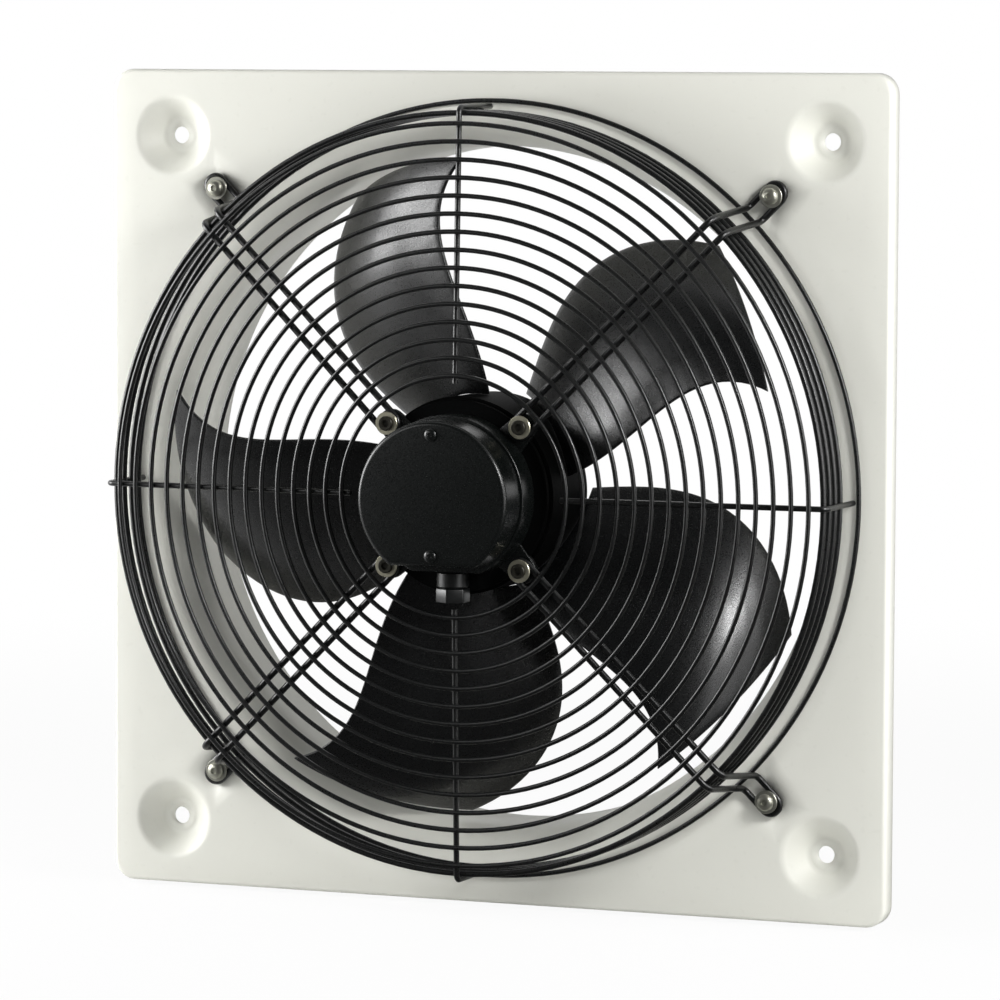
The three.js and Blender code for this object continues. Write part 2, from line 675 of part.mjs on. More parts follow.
function buildShaft() {
  const groove = shaftRadius - circlipGrooveDepth;
  const profile = [[0, shaftFrontY], [shaftRadius, shaftFrontY], [shaftRadius, circlipY - seatGap]];
  profile.push([groove, circlipY - seatGap], [groove, circlipY + circlipWidth + seatGap]);
  profile.push([shaftRadius, circlipY + circlipWidth + seatGap]);
  profile.push([shaftRadius, rotorRearY], [0, rotorRearY]);
  addPiece('shaft', turned(profile, boltSteps), steelFinish);

  const inside = groove + seatGap;
  const ring = [[inside, circlipY], [circlipRadius, circlipY]];
  ring.push([circlipRadius, circlipY + circlipWidth], [inside, circlipY + circlipWidth]);
  const mouth = new THREE.BoxGeometry(circlipMouth, circlipWidth + 2 * cutOverrun, 2 * circlipRadius);
  mouth.translate(0, circlipY + circlipWidth / 2, circlipRadius);
  addPiece('circlip', toGeometry(cut(toSolid(turned(ring, boltSteps)), [mouth])), steelFinish);
}

function buildRotorShell() {
  const bore = shaftRadius + seatGap;
  const profile = [[shellInnerRadius, rotorFrontY], [rotorRadius, rotorFrontY]];
  for (let step = 0; step <= rotorEdgeSteps; step += 1) {
    const angle = (quarter * step) / rotorEdgeSteps;
    const inset = rotorEdge * (1 - Math.cos(angle));
    profile.push([rotorRadius - inset, rotorRearY - rotorEdge * (1 - Math.sin(angle))]);
  }
  profile.push([bore, rotorRearY], [bore, rotorBossY], [rotorBossRadius, rotorBossY]);
  profile.push([rotorBossRadius, rotorFloorY], [shellInnerRadius, rotorFloorY]);
  addPiece('rotor_shell', turned(profile, motorSteps), motorFinish);

  const inner = statorRadius + turningGap;
  const outer = shellInnerRadius - seatGap;
  const ring = [[inner, coreFrontY], [outer, coreFrontY], [outer, coreRearY], [inner, coreRearY]];
  addPiece('rotor_core', turned(ring, motorSteps), coreFinish);
}

// Cubic curve through its first and last values, drawn towards the two in between.
function curveAt([root, nearRoot, nearTip, tip], along) {
  const rest = 1 - along;
  const ends = root * rest ** 3 + tip * along ** 3;
  return ends + 3 * nearRoot * rest ** 2 * along + 3 * nearTip * rest * along ** 2;
}

// Place on the middle of a blade's sheet: along the span from root to tip, across the chord.
function bladePlace(span, chord) {
  const root = rotorRadius + seatGap;
  const radius = root + (bladeTipRadius - root) * span;
  const leading = curveAt(leadingSweep, span);
  const trailing = curveAt(trailingSweep, span);
  const angle = THREE.MathUtils.degToRad(leading + (trailing - leading) * chord);
  const front = bladeSetback + rootSetback * curveAt(setbackShare, span);
  const rear = bladeSetback + bladeDepth - rootTrim * curveAt(trimShare, span);
  const straight = front + (rear - front) * chord;
  const y = rotorFrontY + straight - bladeCamber * 4 * chord * (1 - chord);
  return { radius, angle, y };
}

// One sickle blade: a cambered sheet whose every section lies on a cylinder about the axis.
function bladeGeometry() {
  const positions = [];
  const rows = bladeSpanSteps + 1;
  const columns = bladeChordSteps + 1;
  const probe = 0.001;
  for (const face of [-1, 1]) {
    for (let row = 0; row < rows; row += 1) {
      for (let column = 0; column < columns; column += 1) {
        const span = row / bladeSpanSteps;
        const chord = column / bladeChordSteps;
        const here = bladePlace(span, chord);
        const ahead = bladePlace(span, chord + probe);
        const run = new THREE.Vector2((ahead.angle - here.angle) * here.radius, ahead.y - here.y);
        run.normalize();
        const offset = (face * bladeThickness) / 2;
        const angle = here.angle - (offset * run.y) / here.radius;
        const y = here.y + offset * run.x;
        positions.push(here.radius * Math.cos(angle), y, here.radius * Math.sin(angle));
      }
    }
  }
  const faces = [];
  const rearSheet = rows * columns;
  const quad = (a, b, c, d) => faces.push(a, b, c, a, c, d);
  for (let row = 0; row < bladeSpanSteps; row += 1) {
    for (let column = 0; column < bladeChordSteps; column += 1) {
      const a = row * columns + column;
      quad(a, a + columns, a + columns + 1, a + 1);
      quad(rearSheet + a, rearSheet + a + 1, rearSheet + a + columns + 1, rearSheet + a + columns);
    }
  }
  for (let column = 0; column < bladeChordSteps; column += 1) {
    const tip = bladeSpanSteps * columns + column;
    quad(column, column + 1, rearSheet + column + 1, rearSheet + column);
    quad(tip + 1, tip, rearSheet + tip, rearSheet + tip + 1);
  }
  for (let row = 0; row < bladeSpanSteps; row += 1) {
    const lead = row * columns;
    const trail = lead + bladeChordSteps;
    quad(lead + columns, lead, rearSheet + lead, rearSheet + lead + columns);
    quad(trail, trail + columns, rearSheet + trail + columns, rearSheet + trail);
  }
  const geometry = new THREE.BufferGeometry();
  geometry.setAttribute('position', new THREE.Float32BufferAttribute(positions, 3));
  geometry.setIndex(faces);
  geometry.computeVertexNormals();
  return geometry;
}

function buildBlades() {
  const sheetBlade = bladeGeometry();
  for (let blade = 0; blade < bladeCount; blade += 1) {
    addPiece(`blade_${blade + 1}`, sheetBlade, bladeFinish, (blade * 2 * Math.PI) / bladeCount);
  }
}

buildWallPlate();
buildGuard();
buildFootFasteners();
buildMotorHousing();
buildMotorCap();
buildMotorScrews();
buildGland();
buildStator();
buildBearings();
buildShaft();
buildRotorShell();
buildBlades();

export default fan;
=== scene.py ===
"""A window exhaust fan on a pressed wall plate, with its wire guard, motor and sickle blades.

Lengths are in metres. The fan turns about the Y axis, the guard faces -Y and +Z is up.
"""

import math

import bmesh
import bpy
from mathutils import Matrix, Quaternion, Vector


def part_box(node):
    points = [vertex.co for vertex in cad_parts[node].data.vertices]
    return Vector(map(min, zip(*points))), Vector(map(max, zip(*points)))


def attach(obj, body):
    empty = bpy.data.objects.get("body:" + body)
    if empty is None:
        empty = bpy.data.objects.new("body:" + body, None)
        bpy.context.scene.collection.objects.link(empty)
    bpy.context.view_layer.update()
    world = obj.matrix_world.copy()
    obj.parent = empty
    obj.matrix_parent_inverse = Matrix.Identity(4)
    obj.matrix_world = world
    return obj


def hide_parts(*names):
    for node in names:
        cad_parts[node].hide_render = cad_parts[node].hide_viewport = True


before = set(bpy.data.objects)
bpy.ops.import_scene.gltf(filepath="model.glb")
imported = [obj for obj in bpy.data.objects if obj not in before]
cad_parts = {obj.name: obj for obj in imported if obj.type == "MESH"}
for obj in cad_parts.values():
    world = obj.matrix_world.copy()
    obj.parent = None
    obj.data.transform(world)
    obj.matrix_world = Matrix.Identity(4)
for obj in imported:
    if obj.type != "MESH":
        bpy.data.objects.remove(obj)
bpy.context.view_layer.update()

MM = 0.001
QUARTER = math.pi / 2
MERGE_DISTANCE = 1e-6
DIAGONALS = [math.radians(45 + 90 * turn) for turn in range(4)]
CROSSINGS = [math.radians(90 * turn) for turn in range(4)]

# ---- Sizes of the real pieces -------------------------------------------------------------

# Wall plate. Its holes and dishes are given by their radii.
PLATE_SIDE = 435 * MM
PLATE_CORNER = 13 * MM
PLATE_DEPTH = 12 * MM
RIM_BEND = 2.2 * MM
SHEET = 1.5 * MM
FACE_Y = -PLATE_DEPTH
THROAT_RADIUS = 178.5 * MM
BELL_RADIUS = 21 * MM
NOZZLE_LENGTH = 58 * MM
DISH_PITCH = 365 * MM
DISH_MOUTH = 20 * MM
DISH_SEAT = 10 * MM
DISH_LIP = 2.5 * MM
DISH_TOE = 2 * MM
FIXING_HOLE = 4.5 * MM
FOOT_HOLE = 2.8 * MM
FLAT_MARGIN = 1.5 * MM

# Wire guard. The size of a wire is its radius, and the seat is the small gap kept at contacts.
RING_COUNT = 15
RING_WIRE = 1.25 * MM
BASE_WIRE = 1.25 * MM
CROSS_WIRE = 1.5 * MM
STRUT_WIRE = 1.75 * MM
STRUT_HALF = 5 * MM
SEAT = 0.3 * MM
OUTER_RING = 191 * MM
RING_PITCH = 9.2 * MM
INNER_RING = OUTER_RING - (RING_COUNT - 1) * RING_PITCH
FRONT_RINGS = [INNER_RING + index * RING_PITCH for index in range(RING_COUNT)]
GUARD_HEIGHT = 47.5 * MM
GUARD_CROWN = 6 * MM
SHOULDER = 199.3 * MM
HEEL = 205.5 * MM
SHOULDER_BEND = 6 * MM
HEEL_BEND = 4 * MM
SIDE_RING = 196.3 * MM
SIDE_WIRE = 1.5 * MM
SIDE_RING_COUNT = 4
SIDE_RING_PITCH = 8.67 * MM
SIDE_RING_HEIGHT = 40 * MM
SIDE_RING_HEIGHTS = [SIDE_RING_HEIGHT - SIDE_RING_PITCH * ring for ring in range(SIDE_RING_COUNT)]
CROSS_LEG = SIDE_RING + SIDE_WIRE + CROSS_WIRE
CROSS_BEND = 3.5 * MM
CROSS_OVERHANG = 4 * MM
FOOT_RADIUS = 219.1 * MM
FOOT_OVERRUN = 2 * MM
WIRE_SIDES = 12
BEND_STEP = math.radians(12)
WELD_SPOT = 1.25 * MM
WELD_SEAT_SHARE = 0.95
FRONT_SPOT_STRETCH = (1.0, 0.8, 1.35)
SIDE_SPOT_STRETCH = (0.8, 1.35, 1.1)

# Blades. Sweeps are in degrees and, as the shares, run from root to tip.
BLADE_COUNT = 5
BLADE_TIP = 173 * MM
BLADE_SHEET = 2.2 * MM
BLADE_SETBACK = 10 * MM
BLADE_DEPTH = 55 * MM
ROOT_SETBACK = 13 * MM
ROOT_TRIM = 10 * MM
BLADE_CAMBER = 7 * MM
LEADING_SWEEP = (11, 19.8, 32.3, 19.3)
TRAILING_SWEEP = (73.5, 75.3, 71.7, 47.5)
SETBACK_SHARE = (1, -0.2, 0, 0)
TRIM_SHARE = (1, 0, 0, 0)
BLADE_EDGE = 0.7 * MM
BLADE_STEPS = (40, 26)

# Motor, its lugs, the rotor and the cable gland.
CAP_RADIUS = 41 * MM
CAP_FLAT = 33.5 * MM
CAP_EDGE = 2.6 * MM
FLAT_CORNER = 2 * MM
HOUSING_RADIUS = 42.5 * MM
HOUSING_FLAT = 38 * MM
HOUSING_EDGE = 0.8 * MM
FLANGE_RADIUS = 49.5 * MM
FLANGE_THICKNESS = 3 * MM
FLANGE_INNER = 30 * MM
FLANGE_EDGE = 0.6 * MM
LUG_RADIUS = 52 * MM
LUG_BOSS = 7 * MM
LUG_THICKNESS = 4.5 * MM
LUG_ROOT = 10 * MM
LUG_ROOT_REACH = 30 * MM
LUG_EDGE = 0.7 * MM
ROTOR_RADIUS = 51 * MM
ROTOR_EDGE = 6 * MM
ROTOR_GAP = 2 * MM
ROTOR_WALL = 2.8 * MM
ROTOR_FLOOR = 3 * MM
ROTOR_BORE = 4.3 * MM
ROTOR_BOSS = 10 * MM
ROTOR_BOSS_DEPTH = 14 * MM
BORE_CHAMFER = 0.5 * MM
GLAND_RADIUS = 8.3 * MM
GLAND_BORE = 3.6 * MM
GLAND_EDGE = 0.8 * MM
NUT_CORNER = 9 * MM
NUT_EDGE = 0.7 * MM

# Screws and washers. Heads, shanks, bores and sockets are given by their radii.
WASHER_EDGE = 0.25 * MM
FOOT_HEAD_HEIGHT = 3.2 * MM
FOOT_SHANK = 2.5 * MM
CAP_HEAD_HEIGHT = 1.6 * MM
CAP_SHANK = 2 * MM
THREAD_PITCH = 0.8 * MM
THREAD_DEPTH = 0.35 * MM
THREAD_END = 0.5 * MM
SCREW_TIP_SHARE = 0.6
MOTOR_HEAD = 3.8 * MM
MOTOR_HEAD_HEIGHT = 3 * MM
MOTOR_HEAD_EDGE = 0.5 * MM
MOTOR_WASHER_THICKNESS = 1.2 * MM
MOTOR_WASHER_BORE = 2.7 * MM
MOTOR_SHANK = 2.4 * MM
SOCKET_FLOOR = 1.7 * MM
SOCKET_MOUTH = 2 * MM
SOCKET_DEPTH = 1.4 * MM
SOCKET_LIP = 0.05 * MM
HEAD_CLEARANCE = 0.02 * MM
DIAGONAL_NUMBERS = range(1, len(DIAGONALS) + 1)


def ring_y(radius):
    """Depth of a front ring's centre, which rises slightly towards the guard's middle."""
    return FACE_Y - GUARD_HEIGHT - GUARD_CROWN * (1 - radius / OUTER_RING)


def strut_y(radius):
    """Depth of a strut's wire, which lies behind the front rings."""
    return ring_y(radius) + RING_WIRE + SEAT + STRUT_WIRE


SHOULDER_Y = strut_y(SHOULDER)
FOOT_Y = FACE_Y - SEAT - STRUT_WIRE
LUG_Y = strut_y(LUG_RADIUS) + STRUT_WIRE + SEAT
HOUSING_REAR = LUG_Y + LUG_THICKNESS
ROTOR_FRONT = HOUSING_REAR + ROTOR_GAP


def leg_radius(y):
    """Distance from the axis of a strut's side stretch at a given depth."""
    return HEEL + (HEEL - SHOULDER) / (FOOT_Y - SHOULDER_Y) * (y - FOOT_Y)


# ---- Camera and light ---------------------------------------------------------------------

WORLD_FILL = 0.1
FLOOR_COLOUR = (0.86, 0.86, 0.86, 1)
FLOOR_ROUGHNESS = 0.8
FLOOR_REACH = 6
FLOOR_DROP = 2 * MM
FLOOR_NEAR_SHARE = 0.93
FLOOR_FADE = (0.5, 1.6)

# What mirrored rays meet in the room in front of the fan, and where that room ends.
MIRRORED_ROOM = 0.04
MIRRORED_FLOOR = 0.07
ROOM_SIDE = (0.8, -0.6, 0)
ROOM_FADE = (-0.3, 0.1)
ROOM_FLOOR_FADE = (-0.3, 0)


def place_camera():
    """The photograph's view: a long lens, 22 degrees to the right and a little above."""
    azimuth, elevation, roll = math.radians(21.97), math.radians(4.733), math.radians(0.229)
    distance, right_shift, up_shift = 2.8655, 0.00505, -0.00539
    back = Vector((math.sin(azimuth) * math.cos(elevation),
                   -math.cos(azimuth) * math.cos(elevation), math.sin(elevation)))
    level = Vector((0, 0, 1)).cross(back).normalized()
    upright = back.cross(level)
    right = level * math.cos(roll) + upright * math.sin(roll)
    up = upright * math.cos(roll) - level * math.sin(roll)
    data = bpy.data.cameras.new("photo_camera")
    data.lens = 198
    data.sensor_width = 36
    data.clip_start = 0.1
    data.clip_end = 50
    camera = bpy.data.objects.new("photo_camera", data)
    bpy.context.scene.collection.objects.link(camera)
    turn = Matrix((right, up, back)).transposed().to_4x4()
    place = back * distance + right * right_shift + up * up_shift + Vector((0, FACE_Y, 0))
    camera.matrix_world = Matrix.Translation(place) @ turn
    bpy.context.scene.camera = camera


def soft_lamp(name, place, target, size, power):
    """A rectangular lamp of a width and a height that faces its target."""
    data = bpy.data.lights.new(name, "AREA")
    data.shape = "RECTANGLE"
    data.size, data.size_y = size
    data.energy = power
    lamp = bpy.data.objects.new(name, data)
    bpy.context.scene.collection.objects.link(lamp)
    aim = Vector(target) - Vector(place)
    lamp.rotation_mode = "QUATERNION"
    lamp.rotation_quaternion = aim.to_track_quat("-Z", "Y")
    lamp.location = place


def combined(tree, operation, first, second):
    """One Math node of two linked values."""
    node = tree.nodes.new("ShaderNodeMath")
    node.operation = operation
    tree.links.new(first, node.inputs[0])
    tree.links.new(second, node.inputs[1])
    return node.outputs[0]


def remapped(tree, value, low, high, from_low=0.3, from_high=0.7, smooth=False):
    """Spreads a value's range over low to high. Noise lies mostly between 0.3 and 0.7."""
    spread = tree.nodes.new("ShaderNodeMapRange")
    if smooth:
        spread.interpolation_type = "SMOOTHSTEP"
    spread.inputs["From Min"].default_value = from_low
    spread.inputs["From Max"].default_value = from_high
    spread.inputs["To Min"].default_value = low
    spread.inputs["To Max"].default_value = high
    tree.links.new(value, spread.inputs["Value"])
    return spread.outputs["Result"]


def even_glow(tree, kind, strength):
    """A white background or emission of one strength."""
    glow = tree.nodes.new(kind)
    glow.inputs["Color"].default_value = (1, 1, 1, 1)
    glow.inputs["Strength"].default_value = strength
    return glow


def mixed_shaders(tree, share, first, second):
    """The first shader where the share is 0, and the second where it is 1."""
    mix = tree.nodes.new("ShaderNodeMixShader")
    tree.links.new(share, mix.inputs["Fac"])
    tree.links.new(first, mix.inputs[1])
    tree.links.new(second, mix.inputs[2])
    return mix.outputs[0]


def seen_directly(tree, mirrored_share=None):
    """1 for rays that show the backdrop itself: from the camera, mirrored or through glass."""
    path = tree.nodes.new("ShaderNodeLightPath")
    mirrored = path.outputs["Is Glossy Ray"]
    if mirrored_share is not None:
        mirrored = combined(tree, "MULTIPLY", mirrored, mirrored_share)
    direct = combined(tree, "MAXIMUM", path.outputs["Is Camera Ray"], mirrored)
    return combined(tree, "MAXIMUM", direct, path.outputs["Is Transmission Ray"])


def build_world():
    """White backdrop all round, but dark in mirrored rays on the room's side of the fan."""
    world = bpy.data.worlds.new("studio")
    bpy.context.scene.world = world
    world.use_nodes = True
    tree = world.node_tree
    tree.nodes.clear()
    direction = tree.nodes.new("ShaderNodeTexCoord")
    split = tree.nodes.new("ShaderNodeSeparateXYZ")
    tree.links.new(direction.outputs["Generated"], split.inputs[0])
    behind = remapped(tree, split.outputs["Y"], 0, 1, *ROOM_FADE, smooth=True)
    mirrored = tree.nodes.new("ShaderNodeLightPath").outputs["Is Glossy Ray"]
    fill = even_glow(tree, "ShaderNodeBackground", 1)
    strength = remapped(tree, mirrored, WORLD_FILL, MIRRORED_ROOM, 0, 1)
    tree.links.new(strength, fill.inputs["Strength"])
    white = even_glow(tree, "ShaderNodeBackground", 1)
    mix = mixed_shaders(tree, seen_directly(tree, behind), fill.outputs[0], white.outputs[0])
    out = tree.nodes.new("ShaderNodeOutputWorld")
    tree.links.new(mix, out.inputs["Surface"])


def floor_material():
    """Pale floor that the camera sees as white: nearly so by the fan, fully so farther out.

    Mirrored rays find it white behind and to the left of the fan, and dark on the room's side.
    """
    material = bpy.data.materials.new("pale_floor")
    material.use_nodes = True
    tree = material.node_tree
    shader = tree.nodes["Principled BSDF"]
    shader.inputs["Base Color"].default_value = FLOOR_COLOUR
    shader.inputs["Roughness"].default_value = FLOOR_ROUGHNESS
    place = tree.nodes.new("ShaderNodeTexCoord").outputs["Object"]
    reach = tree.nodes.new("ShaderNodeVectorMath")
    reach.operation = "LENGTH"
    tree.links.new(place, reach.inputs[0])
    fade = remapped(tree, reach.outputs["Value"], FLOOR_NEAR_SHARE, 1, *FLOOR_FADE, smooth=True)
    white = even_glow(tree, "ShaderNodeEmission", 1)
    share = combined(tree, "MULTIPLY", seen_directly(tree), fade)
    bright = mixed_shaders(tree, share, shader.outputs[0], white.outputs[0])

    side = tree.nodes.new("ShaderNodeVectorMath")
    side.operation = "DOT_PRODUCT"
    side.inputs[1].default_value = ROOM_SIDE
    tree.links.new(place, side.inputs[0])
    room_share = remapped(tree, side.outputs["Value"], 0, 1, *ROOM_FLOOR_FADE)
    mirrored = tree.nodes.new("ShaderNodeLightPath").outputs["Is Glossy Ray"]
    dark = even_glow(tree, "ShaderNodeEmission", MIRRORED_FLOOR)
    share = combined(tree, "MULTIPLY", mirrored, room_share)
    surface = mixed_shaders(tree, share, bright, dark.outputs[0])
    tree.links.new(surface, tree.nodes["Material Output"].inputs["Surface"])
    return material


def build_floor():
    mesh = bpy.data.meshes.new("floor")
    bm = bmesh.new()
    bmesh.ops.create_grid(bm, x_segments=1, y_segments=1, size=FLOOR_REACH)
    bmesh.ops.translate(bm, verts=bm.verts, vec=(0, 0, -PLATE_SIDE / 2 - FLOOR_DROP))
    bm.to_mesh(mesh)
    bm.free()
    floor = bpy.data.objects.new("floor", mesh)
    bpy.context.scene.collection.objects.link(floor)
    mesh.materials.append(floor_material())


def build_studio():
    bpy.context.scene.view_settings.view_transform = "Standard"
    build_world()
    middle = (0, 0, 0)
    rim = (PLATE_SIDE / 2, 0, 0)
    soft_lamp("left_box", (-0.97, -0.35, 0.2), middle, size=(0.62, 0.52), power=11.8)
    soft_lamp("right_box", (0.95, -0.4, 0.1), middle, size=(0.5, 1.0), power=3)
    soft_lamp("front_left_lamp", (-1.1, -1.6, 0.65), (-0.03, 0, 0), size=(0.6, 0.6), power=3)
    soft_lamp("upper_right_lamp", (1.1, -0.6, 0.57), (0.1, 0, 0), size=(0.24, 0.34), power=10.6)
    soft_lamp("right_rim_lamp", (1.2, 0.15, 0.2), rim, size=(0.3, 0.6), power=3.8)
    soft_lamp("rear_lamp", (-0.9, 1.8, 1.2), middle, size=(1.2, 1.2), power=2)
    build_floor()


# ---- Materials ----------------------------------------------------------------------------

def number_in(group, name, value):
    """Adds a named number with its usual value to a group's inputs."""
    socket = group.interface.new_socket(name=name, in_out="INPUT", socket_type="NodeSocketFloat")
    socket.default_value = value


def number_out(group, name):
    group.interface.new_socket(name=name, in_out="OUTPUT", socket_type="NodeSocketFloat")


def make_coat_group():
    """Fine orange peel, broad cloudy variation and sparse specks, on Object coordinates."""
    group = bpy.data.node_groups.new("coat_surface", "ShaderNodeTree")
    number_in(group, "Peel Scale", 900.0)
    number_in(group, "Cloud Scale", 9.0)
    number_in(group, "Speck Scale", 260.0)
    number_out(group, "Peel")
    number_out(group, "Cloud")
    number_out(group, "Specks")
    nodes, links = group.nodes, group.links
    entry = nodes.new("NodeGroupInput")
    leave = nodes.new("NodeGroupOutput")
    place = nodes.new("ShaderNodeTexCoord")

    def noise(scale_socket, detail, roughness):
        texture = nodes.new("ShaderNodeTexNoise")
        texture.inputs["Detail"].default_value = detail
        texture.inputs["Roughness"].default_value = roughness
        links.new(place.outputs["Object"], texture.inputs["Vector"])
        links.new(entry.outputs[scale_socket], texture.inputs["Scale"])
        return texture.outputs["Fac"]

    links.new(noise("Peel Scale", detail=2, roughness=0.5), leave.inputs["Peel"])
    links.new(noise("Cloud Scale", detail=4, roughness=0.55), leave.inputs["Cloud"])
    speck_start, speck_full = 0.66, 0.74
    ramp = nodes.new("ShaderNodeValToRGB")
    ramp.color_ramp.elements[0].position = speck_start
    ramp.color_ramp.elements[1].position = speck_full
    links.new(noise("Speck Scale", detail=1, roughness=0.4), ramp.inputs["Fac"])
    links.new(ramp.outputs["Color"], leave.inputs["Specks"])
    return group


def make_wear_group():
    """Mask of raised edges, broken up by noise, from how sharply the surface bends outwards."""
    group = bpy.data.node_groups.new("edge_wear", "ShaderNodeTree")
    number_in(group, "Start", 0.54)
    number_in(group, "End", 0.62)
    number_in(group, "Break Scale", 120.0)
    number_out(group, "Mask")
    nodes, links = group.nodes, group.links
    entry = nodes.new("NodeGroupInput")
    leave = nodes.new("NodeGroupOutput")
    surface = nodes.new("ShaderNodeNewGeometry")
    reach = nodes.new("ShaderNodeMapRange")
    links.new(surface.outputs["Pointiness"], reach.inputs["Value"])
    links.new(entry.outputs["Start"], reach.inputs["From Min"])
    links.new(entry.outputs["End"], reach.inputs["From Max"])
    place = nodes.new("ShaderNodeTexCoord")
    broken = nodes.new("ShaderNodeTexNoise")
    broken.inputs["Detail"].default_value = 3
    links.new(place.outputs["Object"], broken.inputs["Vector"])
    links.new(entry.outputs["Break Scale"], broken.inputs["Scale"])
    product = nodes.new("ShaderNodeMath")
    product.operation = "MULTIPLY"
    product.use_clamp = True
    links.new(reach.outputs["Result"], product.inputs[0])
    links.new(broken.outputs["Fac"], product.inputs[1])
    links.new(product.outputs[0], leave.inputs["Mask"])
    return group


COAT = make_coat_group()
WEAR = make_wear_group()
BUMP_STRENGTH = 0.6


def blended(tree, factor, first, second):
    """Colour between two constant or linked colours."""
    mix = tree.nodes.new("ShaderNodeMix")
    mix.data_type = "RGBA"
    tree.links.new(factor, mix.inputs["Factor"])
    for name, colour in (("A", first), ("B", second)):
        socket = next(s for s in mix.inputs if s.name == name and s.type == "RGBA")
        if isinstance(colour, tuple):
            socket.default_value = (*colour, 1)
        else:
            tree.links.new(colour, socket)
    return next(s for s in mix.outputs if s.type == "RGBA")


def coated(name, light, dark, rough, peel, cloud, metallic=0.0, height=0.00002,
           wear=None, speck=None, specular=0.5, coat=0.0):
    """Paint, powder coat, plating or nylon: cloudy colour, grainy roughness and a fine bump."""
    material = bpy.data.materials.new(name)
    material.use_nodes = True
    tree = material.node_tree
    shader = tree.nodes["Principled BSDF"]
    surface = tree.nodes.new("ShaderNodeGroup")
    surface.node_tree = COAT
    surface.inputs["Peel Scale"].default_value = peel
    surface.inputs["Cloud Scale"].default_value = cloud
    colour = blended(tree, surface.outputs["Cloud"], light, dark)
    if speck is not None:
        colour = blended(tree, surface.outputs["Specks"], colour, speck)
    if wear is not None:
        edges = tree.nodes.new("ShaderNodeGroup")
        edges.node_tree = WEAR
        colour = blended(tree, edges.outputs["Mask"], colour, wear)
    tree.links.new(colour, shader.inputs["Base Color"])
    tree.links.new(remapped(tree, surface.outputs["Peel"], *rough), shader.inputs["Roughness"])
    shader.inputs["Metallic"].default_value = metallic
    shader.inputs["Specular IOR Level"].default_value = specular
    shader.inputs["Coat Weight"].default_value = coat
    bump = tree.nodes.new("ShaderNodeBump")
    bump.inputs["Strength"].default_value = BUMP_STRENGTH
    bump.inputs["Distance"].default_value = height
    tree.links.new(surface.outputs["Peel"], bump.inputs["Height"])
    tree.links.new(bump.outputs["Normal"], shader.inputs["Normal"])
    return material


EDGE_GREY = (0.012, 0.0125, 0.012)

PLATE_PAINT = coated("plate_powder_coat", (0.77, 0.77, 0.705), (0.755, 0.755, 0.69), rough=(0.42, 0.55),
                     peel=700, cloud=5, height=0.00002, speck=(0.745, 0.745, 0.68), specular=0.4)
WIRE_COAT = coated("wire_black_coating", (0.0022, 0.0025, 0.0025), (0.004, 0.0045, 0.0045),
                   rough=(0.26, 0.36), peel=1200, cloud=60, wear=EDGE_GREY, specular=0.6)
BLADE_PAINT = coated("blade_black_paint", (0.002, 0.0024, 0.0026), (0.0032, 0.0038, 0.0042),
                     rough=(0.25, 0.34), peel=1500, cloud=14, wear=EDGE_GREY,
                     speck=(0.0045, 0.005, 0.005), specular=0.85, height=0.000008)
MOTOR_PAINT = coated("motor_black_paint", (0.0018, 0.0026, 0.0024), (0.003, 0.004, 0.0037),
                     rough=(0.24, 0.33), peel=1300, cloud=20, wear=(0.015, 0.016, 0.015),
                     specular=0.5, height=0.000006)
# Dark, dull paint of the rotor. On the flange the same paint is painted shade, for the shade behind the
# drum.
ROTOR_PAINT_AND_FLANGE_SHADE = coated("rotor_paint_and_flange_shade", (0.001, 0.0012, 0.0012), (0.0016, 0.0018, 0.0018),
                     rough=(0.62, 0.76), peel=1300, cloud=20, wear=(0.004, 0.004, 0.004), specular=0.03)
NYLON = coated("gland_nylon", (0.003, 0.0035, 0.0035), (0.005, 0.0055, 0.0055),
               rough=(0.28, 0.4), peel=2000, cloud=50, specular=0.6)
YELLOW_ZINC = coated("yellow_zinc_plating", (0.6, 0.57, 0.42), (0.48, 0.46, 0.36),
                     rough=(0.28, 0.42), metallic=0.9, peel=1800, cloud=160, wear=(0.6, 0.58, 0.48))
BRIGHT_ZINC = coated("bright_zinc_plating", (0.48, 0.48, 0.41), (0.36, 0.36, 0.3),
                     rough=(0.3, 0.44), metallic=0.9, peel=1800, cloud=150, wear=(0.5, 0.5, 0.48))
SOCKET_STEEL = coated("blackened_steel", (0.03, 0.029, 0.022), (0.018, 0.017, 0.013),
                      rough=(0.35, 0.5), metallic=0.4, peel=1800, cloud=150, specular=0.25)
GROUND_STEEL = coated("ground_steel", (0.52, 0.53, 0.54), (0.42, 0.43, 0.44),
                      rough=(0.2, 0.34), metallic=1.0, peel=2500, cloud=90)
CORE_STEEL = coated("stacked_steel", (0.24, 0.25, 0.27), (0.16, 0.17, 0.18),
                    rough=(0.4, 0.6), metallic=0.8, peel=1600, cloud=80)
COPPER = coated("varnished_copper", (0.48, 0.20, 0.08), (0.36, 0.13, 0.05),
                rough=(0.25, 0.4), metallic=0.85, peel=1200, cloud=110, coat=0.5)


# ---- Modelling tools ------------------------------------------------------------------------

def finish_piece(name, bm, material, body, replaced=(), sharp=40):
    """Closes a bmesh into a shaded piece that rides on a body and stands for its CAD nodes."""
    mesh = bpy.data.meshes.new(name)
    bm.to_mesh(mesh)
    bm.free()
    return dress_mesh(name, mesh, material, body, replaced, sharp)


def dress_mesh(name, mesh, material, body, replaced=(), sharp=40):
    """Makes a mesh a shaded piece. Edges that bend more than the sharp angle stay crisp."""
    mesh.materials.clear()
    mesh.materials.append(material)
    mesh.shade_smooth()
    mesh.set_sharp_from_angle(angle=math.radians(sharp))
    piece = bpy.data.objects.new(name, mesh)
    bpy.context.scene.collection.objects.link(piece)
    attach(piece, body)
    if replaced:
        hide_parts(*replaced)
    return piece


